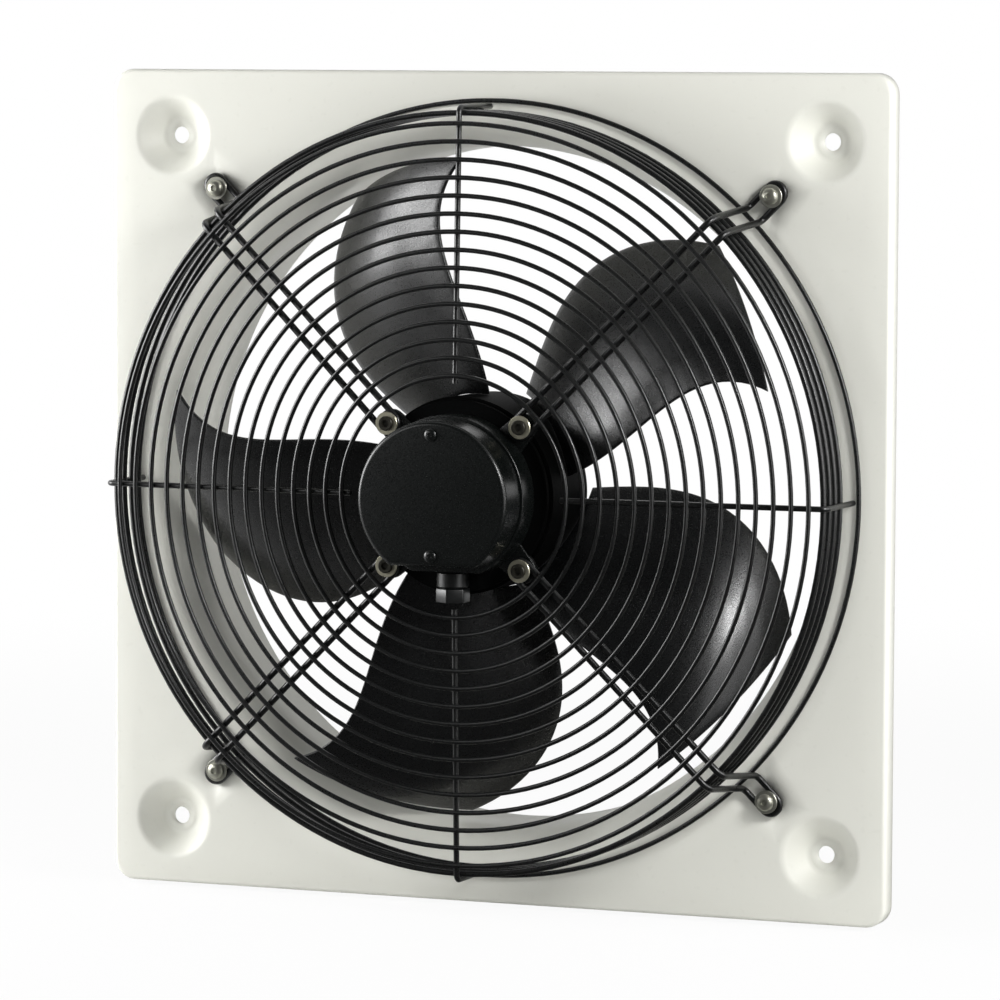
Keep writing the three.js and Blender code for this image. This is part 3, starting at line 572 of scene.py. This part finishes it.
def outward(bm):
    """Merges doubled points and turns every face outwards."""
    bmesh.ops.remove_doubles(bm, verts=bm.verts, dist=MERGE_DISTANCE)
    bmesh.ops.recalc_face_normals(bm, faces=bm.faces)


def new_verts(made):
    """The points among what an operator made."""
    return [v for v in made["geom"] if isinstance(v, bmesh.types.BMVert)]


def new_edges(made):
    return [e for e in made["geom"] if isinstance(e, bmesh.types.BMEdge)]


def lay_flat(bm, verts):
    """Turns a shape made in the floor's plane to face along Y."""
    bmesh.ops.rotate(bm, verts=verts, cent=(0, 0, 0), matrix=Matrix.Rotation(QUARTER, 3, "X"))


def rounded(bm, edges, width, steps, clamped=False):
    """Rounds edges over a width, in a number of steps. Clamped rounds stop where they would meet."""
    bmesh.ops.bevel(bm, geom=edges, offset=width, offset_type="OFFSET", segments=steps, profile=0.5,
                    affect="EDGES", material=-1, clamp_overlap=clamped)


def full_turn(bm, steps):
    """Spins everything once round the fan's axis."""
    bmesh.ops.spin(bm, geom=bm.verts[:] + bm.edges[:], cent=(0, 0, 0), axis=(0, 1, 0),
                   angle=2 * math.pi, steps=steps, use_merge=True)
    outward(bm)


def spun(profile, steps, x=0.0, z=0.0):
    """Turns a profile of (radius, y) pairs about Y, closed unless it starts on the axis."""
    bm = bmesh.new()
    verts = [bm.verts.new((radius, y, 0)) for radius, y in profile]
    closed = profile[0][0] > 0
    for index in range(len(verts) - 1):
        bm.edges.new((verts[index], verts[index + 1]))
    if closed:
        bm.edges.new((verts[-1], verts[0]))
    full_turn(bm, steps)
    bmesh.ops.translate(bm, verts=bm.verts, vec=(x, 0, z))
    return bm


def soften(bm, width, least=35):
    """Rounds every edge that bends more than the least angle."""
    least_bend = math.radians(least)
    sharp = [e for e in bm.edges if len(e.link_faces) == 2 and e.calc_face_angle(0) > least_bend]
    rounded(bm, sharp, width, steps=3, clamped=True)


def wire_ring(radius, y, wire, steps=144):
    """A closed ring of round wire about the fan's axis."""
    bm = bmesh.new()
    bmesh.ops.create_circle(bm, cap_ends=False, radius=wire, segments=WIRE_SIDES)
    bmesh.ops.translate(bm, verts=bm.verts, vec=(radius, y, 0))
    full_turn(bm, steps)
    return bm


def bent_path(corners, bends, closed):
    """Replaces corners by arcs of the given bend radii. An open path keeps its ends."""
    path = []
    for index, (corner, bend) in enumerate(zip(corners, bends)):
        if not closed and index in (0, len(corners) - 1):
            path.append(corner)
            continue
        before = (corners[index - 1] - corner).normalized()
        after = (corners[(index + 1) % len(corners)] - corner).normalized()
        turn = math.pi - before.angle(after)
        middle = (before + after).normalized()
        centre = corner + middle * (bend / math.cos(turn / 2))
        arm = corner + before * bend * math.tan(turn / 2) - centre
        axis = after.cross(before).normalized()
        steps = max(3, round(turn / BEND_STEP))
        path += [centre + Quaternion(axis, turn * share / steps) @ arm for share in range(steps + 1)]
    pairs = zip(path, path[1:])
    return path[:1] + [there for here, there in pairs if (there - here).length > MERGE_DISTANCE]


def wire_mesh(name, path, wire, closed, turn=0.0):
    """A round wire along a path, turned about the fan's axis."""
    curve = bpy.data.curves.new(name, "CURVE")
    curve.dimensions = "3D"
    curve.bevel_depth = wire
    curve.bevel_resolution = 4
    curve.use_fill_caps = not closed
    spline = curve.splines.new("POLY")
    spline.points.add(len(path) - 1)
    rotation = Matrix.Rotation(-turn, 3, "Y")
    for point, place in zip(spline.points, path):
        point.co = (*(rotation @ place), 1)
    spline.use_cyclic_u = closed
    holder = bpy.data.objects.new(name, curve)
    bpy.context.scene.collection.objects.link(holder)
    mesh = bpy.data.meshes.new_from_object(holder)
    bpy.data.objects.remove(holder)
    bpy.data.curves.remove(curve)
    return mesh


def around(radius, y, angle):
    """Place at a radius and an angle about the fan's axis, counted from +X towards +Z."""
    return Vector((radius * math.cos(angle), y, radius * math.sin(angle)))


def flat_bottomed(radius, flat, front_y, rear_y, edge, steps=96):
    """A drum with a flat underside and a rounded front edge."""
    bm = bmesh.new()
    bmesh.ops.create_circle(bm, cap_ends=True, radius=radius, segments=steps)
    lay_flat(bm, bm.verts)
    bmesh.ops.translate(bm, verts=bm.verts, vec=(0, front_y, 0))
    bmesh.ops.bisect_plane(bm, geom=bm.verts[:] + bm.edges[:] + bm.faces[:], dist=MERGE_DISTANCE,
                           plane_co=(0, 0, -flat), plane_no=(0, 0, -1), clear_outer=True)
    grown = bmesh.ops.extrude_face_region(bm, geom=bm.faces[:], use_keep_orig=True)
    bmesh.ops.translate(bm, verts=new_verts(grown), vec=(0, rear_y - front_y, 0))
    outward(bm)
    corner = math.sqrt(radius ** 2 - flat ** 2)
    near = 10 * MERGE_DISTANCE

    def at_corner(vert):
        return abs(abs(vert.co.x) - corner) < near and abs(vert.co.z + flat) < near

    side_edges = [e for e in bm.edges if all(at_corner(v) for v in e.verts)]
    rounded(bm, side_edges, FLAT_CORNER, steps=4)
    front_edges = [e for e in bm.edges if all(abs(v.co.y - front_y) < MERGE_DISTANCE for v in e.verts)]
    rounded(bm, front_edges, edge, steps=6)
    return bm


# ---- Wall plate -------------------------------------------------------------------------------

def loop_edges(bm, radius, x, z, y, steps):
    """A round loop that faces along Y, in the order in which its edges were made."""
    made = bmesh.ops.create_circle(bm, cap_ends=False, radius=radius, segments=steps)
    lay_flat(bm, made["verts"])
    bmesh.ops.translate(bm, verts=made["verts"], vec=(x, y, z))
    bm.edges.index_update()
    return sorted({e for v in made["verts"] for e in v.link_edges}, key=lambda e: e.index)


def grow_loop(bm, edges, centre, radius_now, radius_next, y_shift):
    """Extrudes a round edge loop to a new radius and depth, and returns the new loop."""
    made = bmesh.ops.extrude_edge_only(bm, edges=edges)
    verts = new_verts(made)
    share = radius_next / radius_now
    bmesh.ops.scale(bm, verts=verts, vec=(share, 1, share), space=Matrix.Translation(-Vector(centre)))
    bmesh.ops.translate(bm, verts=verts, vec=(0, y_shift, 0))
    return new_edges(made)


def run_profile(bm, edges, x, z, profile):
    """Extrudes a round loop along a profile of (radius, y) pairs, starting at its first pair."""
    for (radius, y), (next_radius, next_y) in zip(profile, profile[1:]):
        edges = grow_loop(bm, edges, (x, y, z), radius, next_radius, next_y - y)


def arc(centre_radius, centre_y, bend, start, end, steps):
    """Points of a bend in the (radius, y) plane, between two angles in degrees."""
    points = []
    for step in range(steps + 1):
        angle = math.radians(start + (end - start) * step / steps)
        points.append((centre_radius + bend * math.cos(angle), centre_y + bend * math.sin(angle)))
    return points


def plate_outline(bm, half):
    """The rounded square that the flat face ends in, before the rim's bend."""
    bmesh.ops.create_grid(bm, x_segments=1, y_segments=1, size=half)
    lay_flat(bm, bm.verts)
    bmesh.ops.translate(bm, verts=bm.verts, vec=(0, FACE_Y, 0))
    bmesh.ops.bevel(bm, geom=bm.verts[:], offset=PLATE_CORNER - RIM_BEND, offset_type="OFFSET",
                    segments=10, profile=0.5, affect="VERTICES", material=-1)
    outline = bm.edges[:]
    bmesh.ops.delete(bm, geom=bm.faces[:], context="FACES_ONLY")
    return outline


def fold_rim(bm, rim, half):
    """The rim: a bend round the edge of the sheet, then straight back to the wall."""
    bend_steps = 5
    for step in range(bend_steps):
        made = bmesh.ops.extrude_edge_only(bm, edges=rim)
        verts = new_verts(made)
        here, there = (QUARTER * share / bend_steps for share in (step, step + 1))
        grow = (half + RIM_BEND * math.sin(there)) / (half + RIM_BEND * math.sin(here))
        bmesh.ops.scale(bm, verts=verts, vec=(grow, 1, grow))
        bmesh.ops.translate(bm, verts=verts, vec=(0, RIM_BEND * (math.cos(here) - math.cos(there)), 0))
        rim = new_edges(made)
    made = bmesh.ops.extrude_edge_only(bm, edges=rim)
    bmesh.ops.translate(bm, verts=new_verts(made), vec=(0, PLATE_DEPTH - RIM_BEND, 0))


def bell_profile():
    """From the flat face round the bellmouth and back along the nozzle."""
    mouth = THROAT_RADIUS + BELL_RADIUS
    bend = arc(mouth, FACE_Y + BELL_RADIUS, BELL_RADIUS, -90, -180, steps=16)
    return [(mouth + FLAT_MARGIN, FACE_Y)] + bend + [(THROAT_RADIUS, FACE_Y + NOZZLE_LENGTH)]


def dish_profile():
    """From the flat face down a corner's cone to its seat and the hole for the wall screw."""
    seat_y = -SHEET
    lip, toe = 2 * DISH_LIP, 2 * DISH_TOE
    cone = math.degrees(math.atan2(seat_y - FACE_Y, DISH_MOUTH - DISH_SEAT))
    upper = arc(DISH_MOUTH + DISH_LIP, FACE_Y + lip, lip, -90, -90 - cone, steps=6)
    lower = arc(DISH_SEAT - DISH_TOE, seat_y - toe, toe, 90 - cone, 90, steps=5)
    return [(DISH_MOUTH + DISH_LIP + FLAT_MARGIN, FACE_Y)] + upper + lower + [(FIXING_HOLE, seat_y)]


def build_plate():
    bm = bmesh.new()
    half = PLATE_SIDE / 2 - RIM_BEND
    outline = plate_outline(bm, half)
    fold_rim(bm, outline, half)

    # Round openings in the face. Each keeps a narrow flat band before its first bend.
    bell, dish = bell_profile(), dish_profile()
    throat = loop_edges(bm, bell[0][0], 0, 0, FACE_Y, steps=192)
    corners = [(sx * DISH_PITCH / 2, sz * DISH_PITCH / 2) for sx in (-1, 1) for sz in (-1, 1)]
    dishes = [loop_edges(bm, dish[0][0], x, z, FACE_Y, steps=64) for x, z in corners]
    feet = [around(FOOT_RADIUS, FACE_Y, angle) for angle in DIAGONALS]
    holes = [loop_edges(bm, FOOT_HOLE, place.x, place.z, FACE_Y, steps=20) for place in feet]
    boundary = outline + throat + [e for loop in dishes + holes for e in loop]
    bmesh.ops.triangle_fill(bm, use_beauty=True, use_dissolve=False, edges=boundary)

    run_profile(bm, throat, 0, 0, bell)
    for (x, z), loop in zip(corners, dishes):
        run_profile(bm, loop, x, z, dish)
    outward(bm)
    band = Vector((bell[0][0] - FLAT_MARGIN / 2, FACE_Y, 0))
    front = min(bm.faces, key=lambda f: (f.calc_center_median() - band).length)
    if front.normal.y > 0:
        bmesh.ops.reverse_faces(bm, faces=bm.faces)
    piece = finish_piece("pressed_plate", bm, PLATE_PAINT, "root", ["wall_plate"],
                         sharp=50)
    wall = piece.modifiers.new("sheet", "SOLIDIFY")
    wall.thickness = SHEET
    wall.offset = -1
    wall.use_even_offset = True


# ---- Wire guard -------------------------------------------------------------------------------

def build_guard_rings():
    for index, radius in enumerate(FRONT_RINGS):
        bm = wire_ring(radius, ring_y(radius), RING_WIRE)
        finish_piece(f"front_wire_{index + 1}", bm, WIRE_COAT, "root",
                     [f"guard_ring_{index + 1}"])
    for index, height in enumerate(SIDE_RING_HEIGHTS):
        bm = wire_ring(SIDE_RING, FACE_Y - height, SIDE_WIRE)
        finish_piece(f"side_wire_{index + 1}", bm, WIRE_COAT, "root",
                     [f"side_ring_{index + 1}"])
    base_y = FACE_Y - SEAT - BASE_WIRE
    radius = leg_radius(base_y) - STRUT_WIRE - SEAT - BASE_WIRE
    bm = wire_ring(radius, base_y, BASE_WIRE, steps=160)
    finish_piece("base_wire", bm, WIRE_COAT, "root", ["base_ring"])


def strut_path():
    """One endless loop: out along one side of a strut to its foot, and back along the other."""
    inner, outer = LUG_RADIUS - STRUT_HALF, FOOT_RADIUS + FOOT_OVERRUN + STRUT_HALF
    stations = [(inner, strut_y(inner), STRUT_HALF), (SHOULDER, SHOULDER_Y, SHOULDER_BEND),
                (HEEL, FOOT_Y, HEEL_BEND), (outer, FOOT_Y, STRUT_HALF)]
    near = [(Vector((r, y, -STRUT_HALF)), bend) for r, y, bend in stations]
    far = [(Vector((r, y, STRUT_HALF)), bend) for r, y, bend in reversed(stations)]
    corners, bends = zip(*(near + far))
    return bent_path(corners, bends, True)


def cross_path():
    """A cross wire runs out behind the front rings and straight back inside the base ring."""
    inner = INNER_RING - CROSS_OVERHANG
    offset = STRUT_WIRE - CROSS_WIRE
    end_y = FACE_Y - SEAT - CROSS_WIRE
    corners = [Vector((inner, strut_y(inner) - offset, 0)),
               Vector((CROSS_LEG, strut_y(CROSS_LEG) - offset, 0)),
               Vector((CROSS_LEG, end_y, 0))]
    return bent_path(corners, [0, CROSS_BEND, 0], False)


def build_struts():
    loop, cross = strut_path(), cross_path()
    for index, angle in enumerate(DIAGONALS):
        mesh = wire_mesh(f"strut_wire_{index + 1}", loop, STRUT_WIRE, True, angle)
        dress_mesh(f"strut_wire_{index + 1}", mesh, WIRE_COAT, "root", [f"strut_{index + 1}"])
    for index, angle in enumerate(CROSSINGS):
        mesh = wire_mesh(f"cross_wire_piece_{index + 1}", cross, CROSS_WIRE, False, angle)
        dress_mesh(f"cross_wire_piece_{index + 1}", mesh, WIRE_COAT, "root",
                   [f"cross_wire_{index + 1}"])


def add_spot(bm, place, angle, stretch):
    """One weld nugget, stretched in its own frame and turned about the fan's axis."""
    made = bmesh.ops.create_icosphere(bm, subdivisions=1, radius=WELD_SPOT)
    bmesh.ops.scale(bm, verts=made["verts"], vec=stretch)
    bmesh.ops.rotate(bm, verts=made["verts"], cent=(0, 0, 0), matrix=Matrix.Rotation(-angle, 3, "Y"))
    bmesh.ops.translate(bm, verts=made["verts"], vec=place)


def strut_angles(radius):
    """Where a ring of this radius crosses the two wires of each strut."""
    half_turn = math.asin(STRUT_HALF / radius)
    return [diagonal + side * half_turn for diagonal in DIAGONALS for side in (-1, 1)]


def weld_spots():
    """Coated weld nuggets where the rings cross the cross wires and the struts that they touch."""
    bm = bmesh.new()
    behind = RING_WIRE * WELD_SEAT_SHARE
    for radius in FRONT_RINGS:
        for angle in CROSSINGS + strut_angles(radius):
            add_spot(bm, around(radius, ring_y(radius) + behind, angle), angle, FRONT_SPOT_STRETCH)
    reach = SIDE_RING + SIDE_WIRE * WELD_SEAT_SHARE
    for index, height in enumerate(SIDE_RING_HEIGHTS):
        # Of the side rings, only the foremost lies close enough to the struts.
        for angle in CROSSINGS + (strut_angles(SIDE_RING) if index == 0 else []):
            add_spot(bm, around(reach, FACE_Y - height, angle), angle, SIDE_SPOT_STRETCH)
    finish_piece("weld_spots", bm, WIRE_COAT, "root", sharp=80)


# ---- Fasteners --------------------------------------------------------------------------------

def middle_of(low, high):
    """Middle of a box across the fan's axis, as (x, z)."""
    return (low.x + high.x) / 2, (low.z + high.z) / 2


def washer(bore, radius, front_y, rear_y, x, z):
    """A flat washer with broken edges."""
    edge = WASHER_EDGE
    profile = [(bore, front_y), (radius - edge, front_y), (radius, front_y + edge),
               (radius, rear_y - edge), (radius - edge, rear_y), (bore, rear_y)]
    return spun(profile, steps=48, x=x, z=z)


def pan_screw(radius, height, shank, front_y, tip_y, x, z):
    """Pan head screw with a recess in its crown and a shank with fine thread rings."""
    seat_y = front_y + height
    # From the recess over its lip to the crown's rim, as shares of the head's radius and height.
    crown = [(0, 0.28), (0.28, 0.26), (0.36, 0.03), (0.6, 0.08), (0.86, 0.3), (1, 0.62)]
    profile = [(radius * out, front_y + height * down) for out, down in crown]
    profile += [(radius, seat_y), (shank, seat_y)]
    crest_y = seat_y + THREAD_PITCH
    while crest_y + THREAD_PITCH < tip_y - THREAD_END:
        profile += [(shank, crest_y), (shank - THREAD_DEPTH, crest_y + THREAD_PITCH / 2)]
        crest_y += THREAD_PITCH
    profile += [(shank, crest_y), (shank * SCREW_TIP_SHARE, tip_y), (0, tip_y)]
    return spun(profile, steps=32, x=x, z=z)


def build_foot_fasteners():
    for index in DIAGONAL_NUMBERS:
        low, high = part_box(f"foot_washer_{index}")
        bm = washer(FOOT_HOLE, (high.x - low.x) / 2, low.y, high.y, *middle_of(low, high))
        finish_piece(f"foot_plain_washer_{index}", bm, BRIGHT_ZINC, "root",
                     [f"foot_washer_{index}"])
        centre = middle_of(low, high)
        low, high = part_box(f"foot_screw_{index}")
        bm = pan_screw((high.x - low.x) / 2, FOOT_HEAD_HEIGHT, FOOT_SHANK, low.y, high.y, *centre)
        finish_piece(f"foot_pan_screw_{index}", bm, BRIGHT_ZINC, "root",
                     [f"foot_screw_{index}"])


def build_motor_screws():
    """Socket head screws, each on a plated washer that lies on its lug."""
    for index in DIAGONAL_NUMBERS:
        low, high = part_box(f"motor_screw_{index}")
        centre = middle_of(low, high)
        seat_y = low.y + MOTOR_HEAD_HEIGHT
        front = seat_y - MOTOR_WASHER_THICKNESS
        bm = washer(MOTOR_WASHER_BORE, (high.x - low.x) / 2, front, seat_y, *centre)
        finish_piece(f"motor_washer_{index}", bm, YELLOW_ZINC, "root",
                     [f"motor_screw_{index}"])
        head_rear = front - HEAD_CLEARANCE
        profile = [(0, low.y + SOCKET_DEPTH), (SOCKET_FLOOR, low.y + SOCKET_DEPTH),
                   (SOCKET_MOUTH, low.y + SOCKET_LIP), (MOTOR_HEAD - MOTOR_HEAD_EDGE, low.y),
                   (MOTOR_HEAD, low.y + MOTOR_HEAD_EDGE), (MOTOR_HEAD, head_rear),
                   (MOTOR_SHANK, head_rear), (MOTOR_SHANK, high.y), (0, high.y)]
        x, z = centre
        bm = spun(profile, steps=40, x=x, z=z)
        finish_piece(f"motor_socket_screw_{index}", bm, SOCKET_STEEL, "root")


def build_cap_screws():
    for index in (1, 2):
        low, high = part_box(f"cap_screw_{index}")
        radius, z = (high.x - low.x) / 2, (low.z + high.z) / 2
        bm = pan_screw(radius, CAP_HEAD_HEIGHT, CAP_SHANK, low.y, high.y, 0, z)
        finish_piece(f"cap_pan_screw_{index}", bm, MOTOR_PAINT, "root", [f"cap_screw_{index}"])


# ---- Motor ------------------------------------------------------------------------------------

def build_lug(index, angle):
    """Ear that carries one motor screw, from the flange out to its boss."""
    bm = bmesh.new()
    for radius, x in ((LUG_ROOT, LUG_ROOT_REACH), (LUG_BOSS, LUG_RADIUS)):
        for y in (LUG_Y, HOUSING_REAR):
            made = bmesh.ops.create_circle(bm, cap_ends=False, radius=radius, segments=48)
            lay_flat(bm, made["verts"])
            bmesh.ops.translate(bm, verts=made["verts"], vec=(x, y, 0))
    hull = bmesh.ops.convex_hull(bm, input=bm.verts[:])
    inner = [v for v in hull["geom_interior"] if isinstance(v, bmesh.types.BMVert)]
    bmesh.ops.delete(bm, geom=inner, context="VERTS")
    bmesh.ops.dissolve_limit(bm, angle_limit=math.radians(1), verts=bm.verts[:], edges=bm.edges[:])
    soften(bm, LUG_EDGE, least=60)
    bmesh.ops.rotate(bm, verts=bm.verts, cent=(0, 0, 0), matrix=Matrix.Rotation(-angle, 3, "Y"))
    finish_piece(f"motor_lug_{index + 1}", bm, MOTOR_PAINT, "root")


def build_motor():
    low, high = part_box("motor_cap")
    bm = flat_bottomed(CAP_RADIUS, CAP_FLAT, low.y, high.y, CAP_EDGE)
    finish_piece("motor_end_cap", bm, MOTOR_PAINT, "root", ["motor_cap"])
    drum_front = high.y + SEAT
    bm = flat_bottomed(HOUSING_RADIUS, HOUSING_FLAT, drum_front, HOUSING_REAR - SEAT, HOUSING_EDGE)
    finish_piece("motor_drum", bm, MOTOR_PAINT, "root", ["stator_housing"])
    flange_front = HOUSING_REAR - FLANGE_THICKNESS
    profile = [(FLANGE_INNER, flange_front)]
    profile += arc(FLANGE_RADIUS - FLANGE_EDGE, flange_front + FLANGE_EDGE, FLANGE_EDGE, -90, 0, steps=4)
    profile += [(FLANGE_RADIUS, HOUSING_REAR), (FLANGE_INNER, HOUSING_REAR)]
    bm = spun(profile, steps=128)
    # The flange takes the rotor's dull, darker paint as painted shade, for the shade that it lies in
    # behind the drum.
    finish_piece("motor_flange", bm, ROTOR_PAINT_AND_FLANGE_SHADE, "root", ["stator_housing"])
    for index, angle in enumerate(DIAGONALS):
        build_lug(index, angle)


def build_gland():
    """Cable gland that hangs from the housing: a round collar and its hexagon nut."""
    low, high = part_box("gland_body")
    centre_y, length = (low.y + high.y) / 2, high.z - low.z
    radius, edge = GLAND_RADIUS, GLAND_EDGE
    profile = [(GLAND_BORE, 0), (radius - edge, 0), (radius, edge), (radius, length - edge),
               (radius - edge, length), (GLAND_BORE, length)]
    bm = spun(profile, steps=64)
    bmesh.ops.rotate(bm, verts=bm.verts, cent=(0, 0, 0), matrix=Matrix.Rotation(-QUARTER, 3, "X"))
    bmesh.ops.translate(bm, verts=bm.verts, vec=(0, centre_y, high.z))
    finish_piece("gland_collar", bm, NYLON, "root", ["gland_body"])

    low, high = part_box("gland_nut")
    bm = bmesh.new()
    bmesh.ops.create_cone(bm, cap_ends=True, segments=6, radius1=NUT_CORNER, radius2=NUT_CORNER,
                          depth=high.z - low.z)
    soften(bm, NUT_EDGE)
    bmesh.ops.translate(bm, verts=bm.verts, vec=(0, centre_y, (low.z + high.z) / 2))
    finish_piece("gland_hexagon_nut", bm, NYLON, "root", ["gland_nut"])


def build_rotor():
    """The cup that turns behind the flange, open to the front, and the shaft in its boss."""
    low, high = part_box("rotor_shell")
    inner, floor_y = ROTOR_RADIUS - ROTOR_WALL, high.y - ROTOR_FLOOR
    bore, edge, boss_y = ROTOR_BORE, BORE_CHAMFER, high.y - ROTOR_BOSS_DEPTH
    profile = [(inner, low.y), (ROTOR_RADIUS, low.y)]
    profile += arc(ROTOR_RADIUS - ROTOR_EDGE, high.y - ROTOR_EDGE, ROTOR_EDGE, 0, 90, steps=8)
    profile += [(bore + edge, high.y), (bore, high.y - edge), (bore, boss_y), (ROTOR_BOSS, boss_y),
                (ROTOR_BOSS, floor_y), (inner, floor_y)]
    bm = spun(profile, steps=128)
    finish_piece("rotor_drum", bm, ROTOR_PAINT_AND_FLANGE_SHADE, "rotor", ["rotor_shell"])
    low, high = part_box("shaft")
    radius = (high.x - low.x) / 2
    profile = [(0, low.y), (radius - edge, low.y), (radius, low.y + edge), (radius, high.y - edge),
               (radius - edge, high.y), (0, high.y)]
    bm = spun(profile, steps=32)
    finish_piece("motor_shaft", bm, GROUND_STEEL, "rotor", ["shaft"])


# ---- Blades -----------------------------------------------------------------------------------

def curve_at(values, along):
    """Cubic curve through its first and last values, drawn towards the two in between."""
    root, near_root, near_tip, tip = values
    rest = 1 - along
    ends = root * rest ** 3 + tip * along ** 3
    return ends + 3 * near_root * rest ** 2 * along + 3 * near_tip * rest * along ** 2


def blade_place(span, chord):
    """Place on a blade's middle sheet, from root to tip and from leading to trailing edge."""
    root = ROTOR_RADIUS + SEAT
    radius = root + (BLADE_TIP - root) * span
    leading, trailing = curve_at(LEADING_SWEEP, span), curve_at(TRAILING_SWEEP, span)
    angle = math.radians(leading + (trailing - leading) * chord)
    front = BLADE_SETBACK + ROOT_SETBACK * curve_at(SETBACK_SHARE, span)
    rear = BLADE_SETBACK + BLADE_DEPTH - ROOT_TRIM * curve_at(TRIM_SHARE, span)
    y = ROTOR_FRONT + front + (rear - front) * chord - BLADE_CAMBER * 4 * chord * (1 - chord)
    return around(radius, y, angle)


def build_blades():
    for index in range(BLADE_COUNT):
        turn = 2 * math.pi * index / BLADE_COUNT
        bm = bmesh.new()
        span_steps, chord_steps = BLADE_STEPS
        bmesh.ops.create_grid(bm, x_segments=span_steps, y_segments=chord_steps, size=0.5)
        spin = Matrix.Rotation(-turn, 3, "Y")
        for vert in bm.verts:
            vert.co = spin @ blade_place(vert.co.x + 0.5, vert.co.y + 0.5)
        bmesh.ops.recalc_face_normals(bm, faces=bm.faces)
        piece = finish_piece(f"sickle_blade_{index + 1}", bm, BLADE_PAINT, "rotor",
                             [f"blade_{index + 1}"], sharp=50)
        wall = piece.modifiers.new("sheet", "SOLIDIFY")
        wall.thickness = BLADE_SHEET
        wall.offset = 0
        edge = piece.modifiers.new("edge", "BEVEL")
        edge.width = BLADE_EDGE
        edge.segments = 3
        edge.limit_method = "ANGLE"
        edge.angle_limit = math.radians(55)


# ---- Pieces that keep their CAD shape -----------------------------------------------------------

def dress_hidden_pieces():
    finishes = {"stator_core": CORE_STEEL, "rotor_core": CORE_STEEL, "winding": COPPER,
                "bearing_1": GROUND_STEEL, "bearing_2": GROUND_STEEL, "circlip": GROUND_STEEL}
    for name, material in finishes.items():
        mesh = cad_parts[name].data
        mesh.materials.clear()
        mesh.materials.append(material)


place_camera()
build_studio()
build_plate()
build_guard_rings()
build_struts()
weld_spots()
build_foot_fasteners()
build_motor_screws()
build_cap_screws()
build_motor()
build_gland()
build_rotor()
build_blades()
dress_hidden_pieces()
